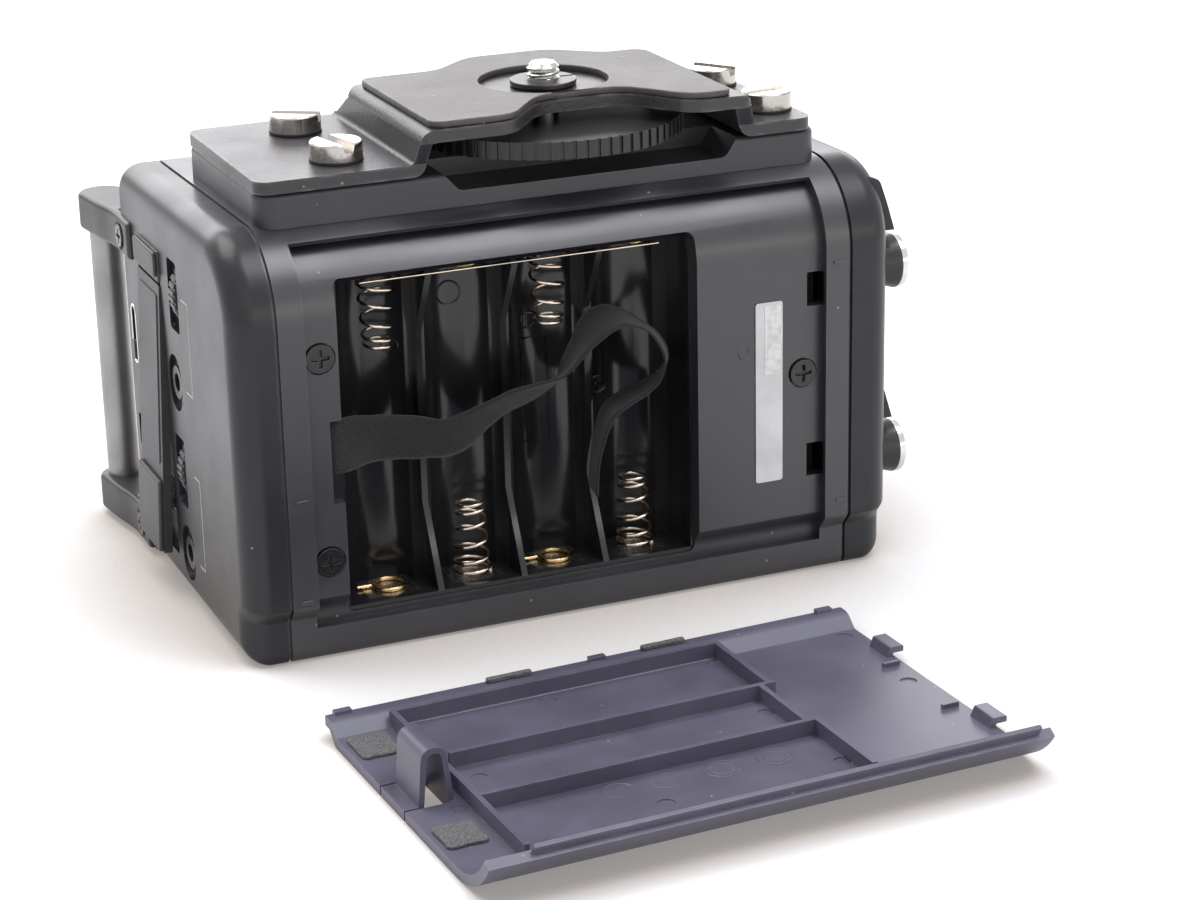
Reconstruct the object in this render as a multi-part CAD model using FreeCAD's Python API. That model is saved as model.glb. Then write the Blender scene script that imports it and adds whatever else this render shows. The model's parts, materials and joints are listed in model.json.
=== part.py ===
import FreeCAD, Part
import math
import os

os.makedirs("parts", exist_ok=True)
V = FreeCAD.Vector

# Frame: X runs along the body, -Y is the battery side, +Y the control side, Z is up.
# The origin is the middle of the base, on the axis of the tripod thread. All sizes are mm.

# Body
BODY_DEPTH = 80.0
REAR = -BODY_DEPTH / 2
FRONT = BODY_DEPTH / 2
LEFT_END = 66.0
RIGHT_END = 67.1
BODY_TOP_REAR = 81.9
BODY_TOP_FRONT = 80.1
BODY_REAR_ROUND = 16.0
BODY_FRONT_ROUND = 5.6
BODY_BASE_ROUND = 2.0
BAND_STEP = 2.4
BAND_TOP = 11.5
BAND_SLANT = 2.8
SEAM_X = 57.6
SEAM_GAP = 0.7
SEAM_DEPTH = 0.7
SHELL_WALL = 5.0
SHELL_FRONT_WALL = 3.0
CAP_WALL = 3.0
CAP_OUTER_WALL = 2.2
CAP_ROUND = 5.0

# Battery bay and its cover
RECESS_HALF_WIDTH = 52.3
RECESS_DEPTH = 2.2
RECESS_BASE = 6.4
RECESS_TOP_Y = REAR + 7.6
RECESS_TOP_Z = 79.3
GROOVE_REACH = 2.0
COVER_CLEARANCE = 0.3
COVER_THICKNESS = 1.9
COVER_RIB = 1.0
LATCH_HEIGHT = 12.1
BAY_LEFT = -RECESS_HALF_WIDTH + 6.7
BAY_RIGHT = BAY_LEFT + 71.6
BAY_BASE = 7.6
BAY_TOP = 72.6
TRAY_WALL = 1.5
CELL_COUNT = 4
CELL_PITCH = 17.0
CELL_FIRST_X = BAY_LEFT + 10.7
CELL_AXIS_Y = REAR + 11.5
CELL_CHANNEL_RADIUS = 7.6
FLOOR_BACK_Y = REAR + 20.8
FLOOR_RIDGE_Y = REAR + 15.5
RIB_THICKNESS = 1.2
RIB_LOW_Y = REAR + 13.0
RIB_HIGH_Y = REAR + 5.5
SPRING_WIRE = 0.32
SPRING_BASE_RADIUS = 3.7
SPRING_TIP_RADIUS = 2.5
SPRING_LENGTH = 14.3
SPRING_TURNS = 6
CONTACT_PLATE = 0.4
RING_RADIUS = 3.0
RING_WIRE = 0.45
RIBBON_WIDTH = 10.4
RIBBON_THICKNESS = 0.5
COVER_YAW = 2.45
COVER_X = -9.75
COVER_Y = -68.3

# Attachment on top
BLOCK_HALF_WIDTH = 56.4
BLOCK_REAR = -28.5
BLOCK_FRONT = 18.0
BLOCK_TOP = 87.6
PLATE_THICKNESS = 2.4
WING_LEFT = -56.5
WING_RIGHT = 55.0
WING_REAR = -29.0
WING_FRONT = 17.0
PLATFORM_LEFT = -26.3
PLATFORM_RIGHT = 39.0
PLATFORM_TOP = 97.1
PLATFORM_REAR = -33.4
PLATFORM_REAR_RIGHT = -34.3
PLATFORM_FRONT = 9.2
LEG_SPREAD = 3.2
NECK_X = 9.6
NECK_HALF = 8.6
NECK_RUN = 9.3
NECK_REAR = -21.2
NECK_FRONT = 17.4
PAD_THICKNESS = 1.3
PAD_MARGIN = 0.5
PAD_LEFT_MARGIN = 2.2
PAD_RIGHT_MARGIN = 3.2
PAD_HOLE_RADIUS = 12.5
CAMERA_X = 7.6
CAMERA_Y = -8.0
CAMERA_SCREW_RADIUS = 3.175
CAMERA_SCREW_TOP = 101.6
CAMERA_SHANK_RADIUS = 2.9
DISC_THICKNESS = 1.0
DISC_RADIUS = 6.4
THUMB_RADIUS = 27.0
THUMB_BASE = 88.9
THUMB_HEIGHT = 3.4
THUMB_NOTCHES = 72
RUN_GAP = 0.3
SHAFT_CLEARANCE = 0.05
COIN_HEAD_RADIUS = 4.95
COIN_HEAD_HEIGHT = 3.2
COIN_WASHER = 0.6
COIN_SHANK = 2.4
COIN_LEFT_X = -38.0
COIN_RIGHT_X = 49.7
COIN_REAR_Y = -18.8
COIN_FRONT_Y = 6.0
INSERT_RADIUS = 3.6

# Handles
BAR_INSET = 1.4
BAR_Y = FRONT + 16.0
BAR_RADIUS = 3.3
BAR_LOW = 5.0
BAR_HIGH = 66.4
BRACKET_HEIGHT = 7.6
BRACKET_TOP_Z = 62.4
BRACKET_BASE_Z = 1.3
BRACKET_ROUND = 5.0
BRACKET_SEAT = 1.2
FOOT_REAR = FRONT - 11.8
HANDLE_SCREW_Y = FRONT - 6.0

# Left side
SIDE_X = -LEFT_END
WHEEL_RADIUS = 8.2
WHEEL_WIDTH = 3.2
WHEEL_SLOT_WIDTH = 6.4
WHEEL_SLOT_HEIGHT = 14.0
PHONES_Y = -1.3
PHONES_WHEEL_Z = 63.1
PHONES_JACK_Y = 1.2
PHONES_JACK_Z = 45.1
LINE_WHEEL_Y = 1.4
LINE_WHEEL_Z = 27.1
LINE_JACK_Y = 0.2
LINE_JACK_Z = 10.4
JACK_BORE = 1.8
JACK_COLLAR = 3.3
JACK_LENGTH = 9.0
HOLD_Y = FRONT - 8.6
HOLD_Z = 46.5
HOLD_SLOT = 11.0
HOLD_KNOB = 4.0
FLAP_FRONT = FRONT - 16.0
FLAP_REAR = FLAP_FRONT - 16.0
FLAP_TOP = 62.6
FLAP_BASE = 7.8
FLAP_THICKNESS = 1.7
FLAP_OPEN = 2.8
ANCHOR_TOP = 69.4

# Right side
DIAL_Y = REAR + 11.3
DIAL_UPPER_Z = 59.1
DIAL_LOWER_Z = 20.4
DIAL_NECK_RADIUS = 4.3
DIAL_RIM_RADIUS = 5.5
DIAL_BODY_END = 72.2
DIAL_RIM_END = 73.5
DIAL_SHAFT_RADIUS = 2.0
SOCKET_UPPER_Z = 59.5
SOCKET_LOWER_Z = 22.5
SOCKET_Y = 4.0
SOCKET_RADIUS = 12.0
SOCKET_BORE = 3.3

# Control side
PANEL_FACE = FRONT + 0.4
PANEL_MARGIN = 5.8
PANEL_HALF_WIDTH = SEAM_X - PANEL_MARGIN
PANEL_BASE = 8.2
PANEL_TOP = 72.8
PANEL_CLEARANCE = 0.2
WINDOW_X = -46.0
WINDOW_Z = 36.0
WINDOW_WIDTH = 46.0
WINDOW_HEIGHT = 32.0
KNOB_RADIUS = 8.0
KNOB_HEIGHT = 11.0
KNOB_LEFT_X = 16.0
KNOB_RIGHT_X = 38.0
KNOB_Z = 56.0
MENU_X = 27.0
MENU_Z = 28.0
MENU_RADIUS = 10.0
KEY_WIDTH = 11.0
KEY_HEIGHT = 7.0
KEY_PITCH = 15.0
KEY_Z = 20.0
KEY_FIRST_X = -38.0
KEY_PROUD = 2.0
POWER_X = 45.0
BOARD_Y = FRONT - 12.6
BOARD_THICKNESS = 1.6
SIDE_BOARD_X = 55.4
TRIPOD_RADIUS = 3.175
TRIPOD_LENGTH = 6.0


def box(x0, x1, y0, y1, z0, z1):
    return Part.makeBox(x1 - x0, y1 - y0, z1 - z0, V(x0, y0, z0))


def rod(radius, start, axis, length):
    return Part.makeCylinder(radius, length, V(*start), axis)


X = V(1, 0, 0)
Y = V(0, 1, 0)
Z = V(0, 0, 1)


def fused(shapes):
    whole = shapes[0].multiFuse(shapes[1:]) if len(shapes) > 1 else shapes[0]
    return whole.removeSplitter()


def unit(a, b):
    length = math.hypot(b[0] - a[0], b[1] - a[1])
    return ((b[0] - a[0]) / length, (b[1] - a[1]) / length)


def slab(points, radii, axis, low, high):
    # A plate with rounded corners: points lie in the plane across the axis.
    places = {"x": lambda u, v: V(low, u, v), "y": lambda u, v: V(u, low, v), "z": lambda u, v: V(u, v, low)}
    place = places[axis]
    count = len(points)
    if not isinstance(radii, list):
        radii = [radii] * count
    corners = []
    for i in range(count):
        here = points[i]
        back = unit(here, points[i - 1])
        ahead = unit(here, points[(i + 1) % count])
        if radii[i] <= 0:
            corners.append([here])
            continue
        angle = math.acos(back[0] * ahead[0] + back[1] * ahead[1])
        reach = radii[i] / math.tan(angle / 2)
        middle = (back[0] + ahead[0], back[1] + ahead[1])
        size = math.hypot(*middle)
        depth = radii[i] / math.sin(angle / 2) - radii[i]
        start = (here[0] + back[0] * reach, here[1] + back[1] * reach)
        top = (here[0] + middle[0] / size * depth, here[1] + middle[1] / size * depth)
        end = (here[0] + ahead[0] * reach, here[1] + ahead[1] * reach)
        corners.append([start, top, end])
    edges = []
    for i in range(count):
        corner = corners[i]
        if len(corner) == 3:
            edges.append(Part.Arc(place(*corner[0]), place(*corner[1]), place(*corner[2])).toShape())
        leave = place(*corner[-1])
        arrive = place(*corners[(i + 1) % count][0])
        if leave.distanceToPoint(arrive) > 1e-6:
            edges.append(Part.LineSegment(leave, arrive).toShape())
    face = Part.Face(Part.Wire(edges))
    run = {"x": X, "y": Y, "z": Z}[axis] * (high - low)
    return face.extrude(run)


def plate(u0, u1, v0, v1, radius, axis, low, high):
    return slab([(u0, v0), (u1, v0), (u1, v1), (u0, v1)], radius, axis, low, high)


def moved_in(points, radii, inset):
    # Offsets a counterclockwise outline inwards, keeping its rounded corners parallel.
    count = len(points)
    fresh = []
    rounds = []
    for i in range(count):
        before = unit(points[i - 1], points[i])
        after = unit(points[i], points[(i + 1) % count])
        n1 = (-before[1], before[0])
        n2 = (-after[1], after[0])
        scale = inset / (1 + n1[0] * n2[0] + n1[1] * n2[1])
        fresh.append((points[i][0] + (n1[0] + n2[0]) * scale, points[i][1] + (n1[1] + n2[1]) * scale))
        turn = before[0] * after[1] - before[1] * after[0]
        rounds.append(max(radii[i] - inset, 0.6) if turn > 0 else radii[i] + inset)
    return fresh, rounds


def banded(inset, x0, x1):
    # The body's section with the set-back band along its lower rear edge.
    points = [(REAR + BAND_STEP, 0), (FRONT, 0), (FRONT, BODY_TOP_FRONT), (REAR, BODY_TOP_REAR),
              (REAR, BAND_TOP), (REAR + BAND_STEP, BAND_TOP - BAND_SLANT)]
    radii = [BODY_BASE_ROUND, 1.0, BODY_FRONT_ROUND, BODY_REAR_ROUND, 1.0, 1.0]
    if inset:
        points, radii = moved_in(points, radii, inset)
    return slab(points, radii, "x", x0, x1)


def plain(inset, x0, x1, floor=0.0, front=None):
    # The same section without the band, for cavities and for the cover.
    points = [(REAR, 0), (FRONT, 0), (FRONT, BODY_TOP_FRONT), (REAR, BODY_TOP_REAR)]
    radii = [BODY_BASE_ROUND, 1.0, BODY_FRONT_ROUND, BODY_REAR_ROUND]
    points, radii = moved_in(points, radii, inset)
    if front is not None:
        shift = front - inset
        points[1] = (points[1][0] - shift, points[1][1])
        points[2] = (points[2][0] - shift, points[2][1])
    if floor:
        shift = floor - inset
        points[0] = (points[0][0], points[0][1] + shift)
        points[1] = (points[1][0], points[1][1] + shift)
    return slab(points, radii, "x", x0, x1)


WIDE = RIGHT_END
ARC_Y = REAR + BODY_REAR_ROUND
ARC_Z = BODY_TOP_REAR - BODY_REAR_ROUND


def rear_zone(half_width, base, turn):
    # The wedge behind the rear face up to a radial line through the upper end of the recess.
    dy = RECESS_TOP_Y - ARC_Y
    dz = RECESS_TOP_Z - ARC_Z
    angle = math.atan2(dz, dy) - math.radians(turn)
    far = (ARC_Y + 26 * math.cos(angle), ARC_Z + 26 * math.sin(angle))
    points = [(REAR - 6, base), (REAR + 7, base), (REAR + 7, ARC_Z - 8), (ARC_Y, ARC_Z), far,
              (REAR - 6, far[1])]
    return slab(points, 0, "x", -half_width, half_width)


def export(shape, name):
    shape.exportStep("parts/" + name + ".step")
    print(name, len(shape.Solids), round(shape.Volume, 1), shape.isValid())


def cross_slot(centre, axis, radius, depth):
    # Two crossed grooves for a screwdriver, cut into a head from outside.
    x, y, z = centre
    arm = radius * 0.66
    half = radius * 0.13
    if axis == "y":
        return fused([box(x - arm, x + arm, y, y + depth, z - half, z + half),
                      box(x - half, x + half, y, y + depth, z - arm, z + arm)])
    return fused([box(x, x + depth, y - arm, y + arm, z - half, z + half),
                  box(x, x + depth, y - half, y + half, z - arm, z + arm)])


cell_x = [CELL_FIRST_X + CELL_PITCH * i for i in range(CELL_COUNT)]
coin_places = [(x, y) for x in (COIN_LEFT_X, COIN_RIGHT_X) for y in (COIN_REAR_Y, COIN_FRONT_Y)]
flange_left = 3.2 - RECESS_HALF_WIDTH
flange_right = RECESS_HALF_WIDTH - 4.0
rear_screw_places = [(flange_left, 58.7), (flange_left, 19.3), (flange_right, 41.8)]
jack_places = [(PHONES_JACK_Y, PHONES_JACK_Z), (LINE_JACK_Y, LINE_JACK_Z)]
wheel_places = [(PHONES_Y, PHONES_WHEEL_Z), (LINE_WHEEL_Y, LINE_WHEEL_Z)]
dial_heights = [DIAL_UPPER_Z, DIAL_LOWER_Z]
socket_heights = [SOCKET_UPPER_Z, SOCKET_LOWER_Z]
hook_spans = [(20.6, 26.8), (55.4, 61.6)]

# Middle shell: a sleeve between the two end caps, open at both ends.
LIP_END = SEAM_X + SEAM_GAP / 2
SKIN_END = SEAM_X - SEAM_GAP / 2
shell = fused([banded(0, -SKIN_END, SKIN_END), banded(SEAM_DEPTH, -LIP_END, LIP_END)])
cavity = plain(SHELL_WALL, -LIP_END - 1, LIP_END + 1, SHELL_FRONT_WALL, SHELL_FRONT_WALL)
shell = shell.cut(cavity)
recess = rear_zone(RECESS_HALF_WIDTH, RECESS_BASE, 0).cut(banded(RECESS_DEPTH, -WIDE, WIDE))
groove = rear_zone(RECESS_HALF_WIDTH, RECESS_BASE, GROOVE_REACH / BODY_REAR_ROUND * 57.3)
groove = groove.common(plain(0.9, -WIDE, WIDE)).cut(plain(RECESS_DEPTH, -WIDE, WIDE))
bay = plate(BAY_LEFT, BAY_RIGHT, BAY_BASE, BAY_TOP, 1.6, "y", REAR - 2, REAR + 10)
pocket = box(BAY_LEFT - 2.2, BAY_LEFT + 0.1, REAR - 1, REAR + SHELL_WALL, 30.4, 46.4)
shell = shell.cut(recess).cut(groove).cut(bay).cut(pocket)
for low, high in hook_spans:
    shell = shell.cut(box(RECESS_HALF_WIDTH - 3.1, RECESS_HALF_WIDTH + 2.1, REAR + 1.1, REAR + SHELL_WALL,
                          low - 0.3, high + 0.3))
hole_half = PANEL_HALF_WIDTH + PANEL_CLEARANCE
panel_hole = plate(-hole_half, hole_half, PANEL_BASE - PANEL_CLEARANCE, PANEL_TOP + PANEL_CLEARANCE, 1.5,
                   "y", FRONT - 10, FRONT + 2)
shell = shell.cut(panel_hole)
for x, z in rear_screw_places:
    shell = shell.cut(rod(3.05, (x, REAR, z), Y, RECESS_DEPTH + 0.8))
    shell = shell.cut(rod(1.25, (x, REAR, z), Y, 8))
bosses = []
for x, y in coin_places:
    bosses.append(rod(5.5, (x, y, 73.2), Z, 6.0))
shell = fused([shell] + bosses)
for x, y in coin_places:
    shell = shell.cut(rod(INSERT_RADIUS, (x, y, 73.2), Z, 12))
shell = shell.cut(rod(9.0, (0, 0, -1), Z, 10))
bush_seat = rod(9.0, (0, 0, 0), Z, SHELL_FRONT_WALL)
export(shell, "middle_shell")

# Tripod bush in the base
bush = fused([bush_seat, rod(6.5, (0, 0, 0), Z, TRIPOD_LENGTH + 2.5)])
bush = bush.cut(rod(TRIPOD_RADIUS, (0, 0, -1), Z, TRIPOD_LENGTH + 1))
export(bush, "tripod_bush")

# Battery tray behind the opening: a flange plate, a trough for four cells and three ribs.
FLANGE_Y = REAR + SHELL_WALL
tray_inner = (BAY_LEFT + 0.6, BAY_RIGHT - 0.6, BAY_BASE + 0.9, BAY_TOP - 1.4)
left, right, base, top = tray_inner
flange_half = RECESS_HALF_WIDTH - 0.3
flange = box(-flange_half, flange_half, FLANGE_Y, FLANGE_Y + 1.5, 4.6, 65.5)
trough = box(left - TRAY_WALL, right + TRAY_WALL, FLANGE_Y, FLOOR_BACK_Y, base - TRAY_WALL, top + TRAY_WALL)
hollow = box(left, right, REAR, FLOOR_RIDGE_Y, base, top)
tray = fused([flange, trough]).cut(hollow)
for x in cell_x:
    channel = rod(CELL_CHANNEL_RADIUS, (x, CELL_AXIS_Y, base), Z, top - base)
    tray = tray.cut(channel)
ribs = []
rib_line = [(FLOOR_RIDGE_Y + 0.5, base), (RIB_HIGH_Y, base), (RIB_LOW_Y, 24.0), (RIB_LOW_Y, 57.5),
            (RIB_HIGH_Y, top), (FLOOR_RIDGE_Y + 0.5, top)]
for x in cell_x[:-1]:
    middle = x + CELL_PITCH / 2
    ribs.append(slab(rib_line, 0, "x", middle - RIB_THICKNESS / 2, middle + RIB_THICKNESS / 2))
for x, z in rear_screw_places:
    ribs.append(rod(2.6, (x, FLANGE_Y, z), Y, 7.0))
tray = fused([tray] + ribs)
tray = tray.common(plain(SHELL_WALL + 0.02, -WIDE, WIDE, SHELL_FRONT_WALL, SHELL_FRONT_WALL))
for x, z in rear_screw_places:
    tray = tray.cut(rod(1.2, (x, FLANGE_Y - 1, z), Y, 7.0))
for x in cell_x:
    for low, high in ((base - CONTACT_PLATE, base + 0.1), (top - 0.1, top + CONTACT_PLATE)):
        tray = tray.cut(box(x - 5.2, x + 5.2, CELL_AXIS_Y - 4.4, CELL_AXIS_Y + 4.4, low, high))
export(tray, "battery_tray")

# Contact plates let into both ends of each cell's channel
plates = []
for x in cell_x:
    for low in (base - CONTACT_PLATE, top):
        plates.append(box(x - 5.2, x + 5.2, CELL_AXIS_Y - 4.4, CELL_AXIS_Y + 4.4, low, low + CONTACT_PLATE))
export(Part.makeCompound(plates), "contact_plates")


def biarc(p, t, q, s):
    # Two arcs that leave p along t and arrive at q along s.
    v = q - p
    blend = t + s
    a = 2 * (1 - t.dot(s))
    b = v.dot(blend)
    step = (-b + math.sqrt(b * b + a * v.dot(v))) / a
    first = p + t * step
    second = q - s * step
    middle = (first + second) * 0.5
    arcs = []
    for start, corner, end in ((p, first, middle), (middle, second, q)):
        chord = (start + end) * 0.5
        half = (end - start).Length / 2
        rise = corner - chord
        angle = math.atan2(rise.Length, half)
        rise.normalize()
        arcs.append(Part.Arc(start, chord + rise * (half * math.tan(angle / 2)), end).toShape())
    return arcs


def coil(x, foot, way):
    # A conical spring: way is +1 when it stands on its foot and -1 when it hangs.
    def point(turn):
        share = turn / SPRING_TURNS
        radius = SPRING_BASE_RADIUS + (SPRING_TIP_RADIUS - SPRING_BASE_RADIUS) * share
        rise = SPRING_LENGTH * (share - 0.1 * math.sin(2 * math.pi * share))
        angle = 2 * math.pi * turn
        return V(x + radius * math.cos(angle), CELL_AXIS_Y + radius * math.sin(angle), foot + way * rise)

    def heading(turn):
        step = point(turn + 1e-4) - point(turn - 1e-4)
        step.normalize()
        return step

    arcs = []
    quarter = 0.25
    for i in range(int(SPRING_TURNS / quarter)):
        a = i * quarter
        arcs += biarc(point(a), heading(a), point(a + quarter), heading(a + quarter))
    circle = Part.Wire(Part.makeCircle(SPRING_WIRE, point(0), heading(0)))
    tube = Part.Wire(arcs).makePipeShell([circle], True, False)
    gap = min((point(t * 0.05) - point(t * 0.05 + 1)).Length for t in range(20 * (SPRING_TURNS - 1)))
    print("spring gap", round(gap - 2 * SPRING_WIRE, 2))
    return tube


springs = []
for i, x in enumerate(cell_x):
    if i % 2 == 0:
        springs.append(coil(x, top - SPRING_WIRE - 0.02, -1))
    else:
        springs.append(coil(x, base + SPRING_WIRE + 0.02, 1))
export(Part.makeCompound(springs), "contact_springs")

# Wire rings that meet the raised ends of the cells
rings = []
for i, x in enumerate(cell_x):
    height = base + RING_WIRE + 0.02 if i % 2 == 0 else top - RING_WIRE - 0.02
    ring = Part.makeTorus(RING_RADIUS, RING_WIRE, V(x, CELL_AXIS_Y, height), Z)
    tail = rod(RING_WIRE * 0.8, (x - RING_RADIUS - 3.2, CELL_AXIS_Y + 0.6, height), X, 3.2)
    rings.append(ring.fuse(tail))
export(Part.makeCompound(rings), "contact_rings")

# Pull ribbon: from the pocket at the left across the cells, round a loop and down again.
LOOP_X = 60.6
LOOP_Z = 47.4
LOOP_RADIUS = 7.0


def station(x, y, z, heading, tilt):
    # One cross-section of the ribbon, upright to its heading and leaned into the bay by tilt.
    # Its place is given from the left end of the bay and from the rear face of the body.
    h = math.radians(heading)
    lean = math.radians(tilt)
    ahead = V(math.cos(h), 0, math.sin(h))
    across = V(-math.sin(h) * math.cos(lean), math.sin(lean), math.cos(h) * math.cos(lean))
    thick = ahead.cross(across)
    half = across * (RIBBON_WIDTH / 2)
    skin = thick * (RIBBON_THICKNESS / 2)
    centre = V(BAY_LEFT + x, REAR + y, z)
    corners = [centre + half + skin, centre + half - skin, centre - half - skin, centre - half + skin]
    return Part.makePolygon(corners + [corners[0]])


stations = [station(-1.4, 4.13, 39.8, 0, 0), station(4.6, 4.13, 39.6, 0, 0)]
stations.append(station(12.4, 5.8, 38.6, -4, 4))
stations.append(station(22.5, 7.6, 38.0, 6, 4))
stations.append(station(34.0, 9.0, 40.6, 20, 5))
stations.append(station(45.8, 9.4, 45.3, 28, 10))
for k in range(7):
    around = 140 - 34 * k
    lean = 40 + 17 * k if k < 3 else 74 - 12 * (k - 2)
    spot = math.radians(around)
    stations.append(station(LOOP_X + LOOP_RADIUS * math.cos(spot), 9.2 + 0.25 * k,
                            LOOP_Z + LOOP_RADIUS * math.sin(spot), around - 90, lean))
stations.append(station(55.0, 10.8, 33.4, -118, 34))
stations.append(station(53.8, 10.8, 28.0, -96, 37))
stations.append(station(53.6, 10.8, 23.6, -90, 37))
ribbon = Part.makeLoft(stations, True, True)
export(ribbon, "battery_ribbon")

# Battery cover, modelled closed and then laid on its outer face behind the recorder.
cover_half = RECESS_HALF_WIDTH - COVER_CLEARANCE
cover_base = RECESS_BASE + COVER_CLEARANCE
skin = rear_zone(cover_half, cover_base, -COVER_CLEARANCE / BODY_REAR_ROUND * 57.3)
skin = skin.common(banded(0, -WIDE, WIDE)).cut(banded(COVER_THICKNESS, -WIDE, WIDE))
tongue = rear_zone(cover_half - 2.5, 60.0, 0.75 * GROOVE_REACH / BODY_REAR_ROUND * 57.3)
tongue = tongue.cut(box(-WIDE, 8.0 - cover_half, REAR - 9, REAR + 40, 50, 90))
tongue = tongue.common(plain(1.1, -WIDE, WIDE)).cut(plain(COVER_THICKNESS, -WIDE, WIDE))
INNER = REAR + COVER_THICKNESS
LIP_INNER = INNER + BAND_STEP
LATCH_LOW = 33.1
LATCH_HIGH = 43.4
latch_x = 0.3 - cover_half
latch_end = latch_x + 9.1
skin = skin.cut(box(latch_x - 2, latch_x + 7.9, REAR - 1, INNER + 1, LATCH_LOW - 0.5, LATCH_HIGH + 0.5))
pieces = [skin, tongue]
rib_left = BAY_LEFT + 4.0
rib_right = BAY_RIGHT - 2.6
rib_top = INNER + 3.0
for z, start, end in ((11.0, rib_left, rib_right), (31.4, rib_left + 2.6, rib_right + 0.6),
                      (48.5, rib_left + 0.6, rib_right)):
    pieces.append(box(start, end, INNER - 0.2, rib_top, z, z + COVER_RIB))
for low, high, shift in ((11.0, 32.0, 0.0), (31.8, 49.0, -1.9), (48.6, 69.0, 0.0)):
    pieces.append(box(rib_right + shift - COVER_RIB, rib_right + shift, INNER - 0.2, rib_top, low, high))
pieces.append(box(rib_left, rib_left + COVER_RIB, INNER - 0.2, rib_top, 11.0, 69.0))

# The sprung latch is a strip folded into a narrow arch, with its finger tab on the left.
wall = latch_x + 2.2
loop = slab([(wall, REAR), (wall + 1.0, REAR), (wall + 2.1, REAR + 11.0), (wall + 4.6, REAR + 11.0),
             (latch_end - 1.1, REAR), (latch_end - 0.1, REAR), (latch_end - 1.5, REAR + LATCH_HEIGHT),
             (wall + 1.0, REAR + LATCH_HEIGHT)],
            [0, 0, 1.1, 1.1, 0, 0, 2.0, 2.0], "z", LATCH_LOW, LATCH_HIGH)
pieces.append(loop)
pieces.append(box(latch_x - 0.3, wall + 1.0, REAR, INNER, LATCH_LOW, LATCH_HIGH))

# Two clips at the right end, each with a slanted inner side, and two short bars beside them
for low, high in hook_spans:
    clip = [(cover_half - 1.9, INNER - 0.2), (cover_half - 0.6, INNER - 0.2),
            (cover_half - 0.3, INNER + 0.7), (cover_half + 1.8, INNER + 0.7),
            (cover_half + 1.8, INNER + 1.9), (cover_half - 1.0, INNER + 1.9)]
    pieces.append(slab(clip, [0, 0, 0, 0, 0.3, 0.4], "z", low, high))
for z in (30.3, 50.6):
    pieces.append(box(cover_half - 4.6, cover_half - 1.3, INNER - 0.2, INNER + 0.9, z - 0.4, z + 0.4))
for x in (3.0 - cover_half, 0.5, cover_half - 4.2):
    pieces.append(box(x - 1.6, x + 1.6, LIP_INNER - 0.2, LIP_INNER + 0.8, cover_base, cover_base + 1.4))
cover = fused(pieces)
ejectors = []
for x, z in ((-12.3, 14.5), (20.6, 14.5), (19.2, 37.5), (-35.9, 37.5), (-12.3, 61.0), (21.4, 60.6),
             (48.4, 37.5), (48.4, 14.5), (-43.5, 47.0)):
    ejectors.append(rod(1.6, (x, INNER - 0.25, z), Y, 0.5))
cover = cover.cut(Part.makeCompound(ejectors))
felts = []
for low, high in ((13.5, 22.6), (52.0, 60.2)):
    felts.append(plate(1.0 - cover_half, 8.5 - cover_half, low, high, 1.0, "y", INNER, INNER + 0.6))
for x in (-17.0, 13.9):
    felts.append(plate(x - 4.6, x + 4.6, cover_base, cover_base + 1.4, 0.5, "y", LIP_INNER, LIP_INNER + 0.9))
felts = Part.makeCompound(felts)


def laid(shape):
    # Turns a closed piece of the cover down onto the floor at the place where it lies.
    lying = shape.copy()
    lying.translate(V(0, -REAR, 0))
    lying.rotate(V(0, 0, 0), X, 90)
    lying.translate(V(0, cover_base, 0))
    lying.rotate(V(0, 0, 0), Z, COVER_YAW)
    lying.translate(V(COVER_X, COVER_Y, 0))
    return lying


export(laid(cover), "battery_cover")
export(laid(felts), "cover_pads")

# Screws that hold the shell to the tray
screws = []
for x, z in rear_screw_places:
    seat = REAR + RECESS_DEPTH + 0.8
    head = fused([rod(2.75, (x, seat - 1.3, z), Y, 1.3), rod(1.2, (x, seat - 0.5, z), Y, 7.5)])
    screws.append(head.cut(cross_slot((x, seat - 1.31, z), "y", 2.6, 0.8)))
export(Part.makeCompound(screws), "rear_screws")

# Rating plate place: a bare metal plate on the floor of the recess
label_y = REAR + RECESS_DEPTH
label = plate(RECESS_HALF_WIDTH - 14.2, RECESS_HALF_WIDTH - 8.4, 20.5, 57.1, 0.6,
              "y", label_y - 0.25, label_y)
export(label, "label_plate")

# Attachment block on the top of the body
block = plate(-BLOCK_HALF_WIDTH, BLOCK_HALF_WIDTH, BLOCK_REAR, BLOCK_FRONT, 4.0, "z", 76, BLOCK_TOP)
upper = [e for e in block.Edges if e.BoundBox.ZMin > BLOCK_TOP - 0.01]
block = block.makeFillet(1.3, upper)
valley = slab([(-21.8, BLOCK_TOP + 1), (-17.6, 84.0), (36.4, 84.0), (39.6, BLOCK_TOP + 1)],
              [0, 2.0, 2.0, 0], "y", BLOCK_REAR - 1, -17.0)
block = block.cut(valley)
block = block.cut(banded(0, -BLOCK_HALF_WIDTH - 2, BLOCK_HALF_WIDTH + 2))
for x, y in coin_places:
    block = block.cut(rod(COIN_SHANK + 0.1, (x, y, 70), Z, 30))
export(block, "attachment_block")

inserts = []
for x, y in coin_places:
    insert = rod(INSERT_RADIUS, (x, y, 73.2), Z, 6.8)
    inserts.append(insert.cut(rod(COIN_SHANK, (x, y, 73.0), Z, 8)))
export(Part.makeCompound(inserts), "mount_inserts")

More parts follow.
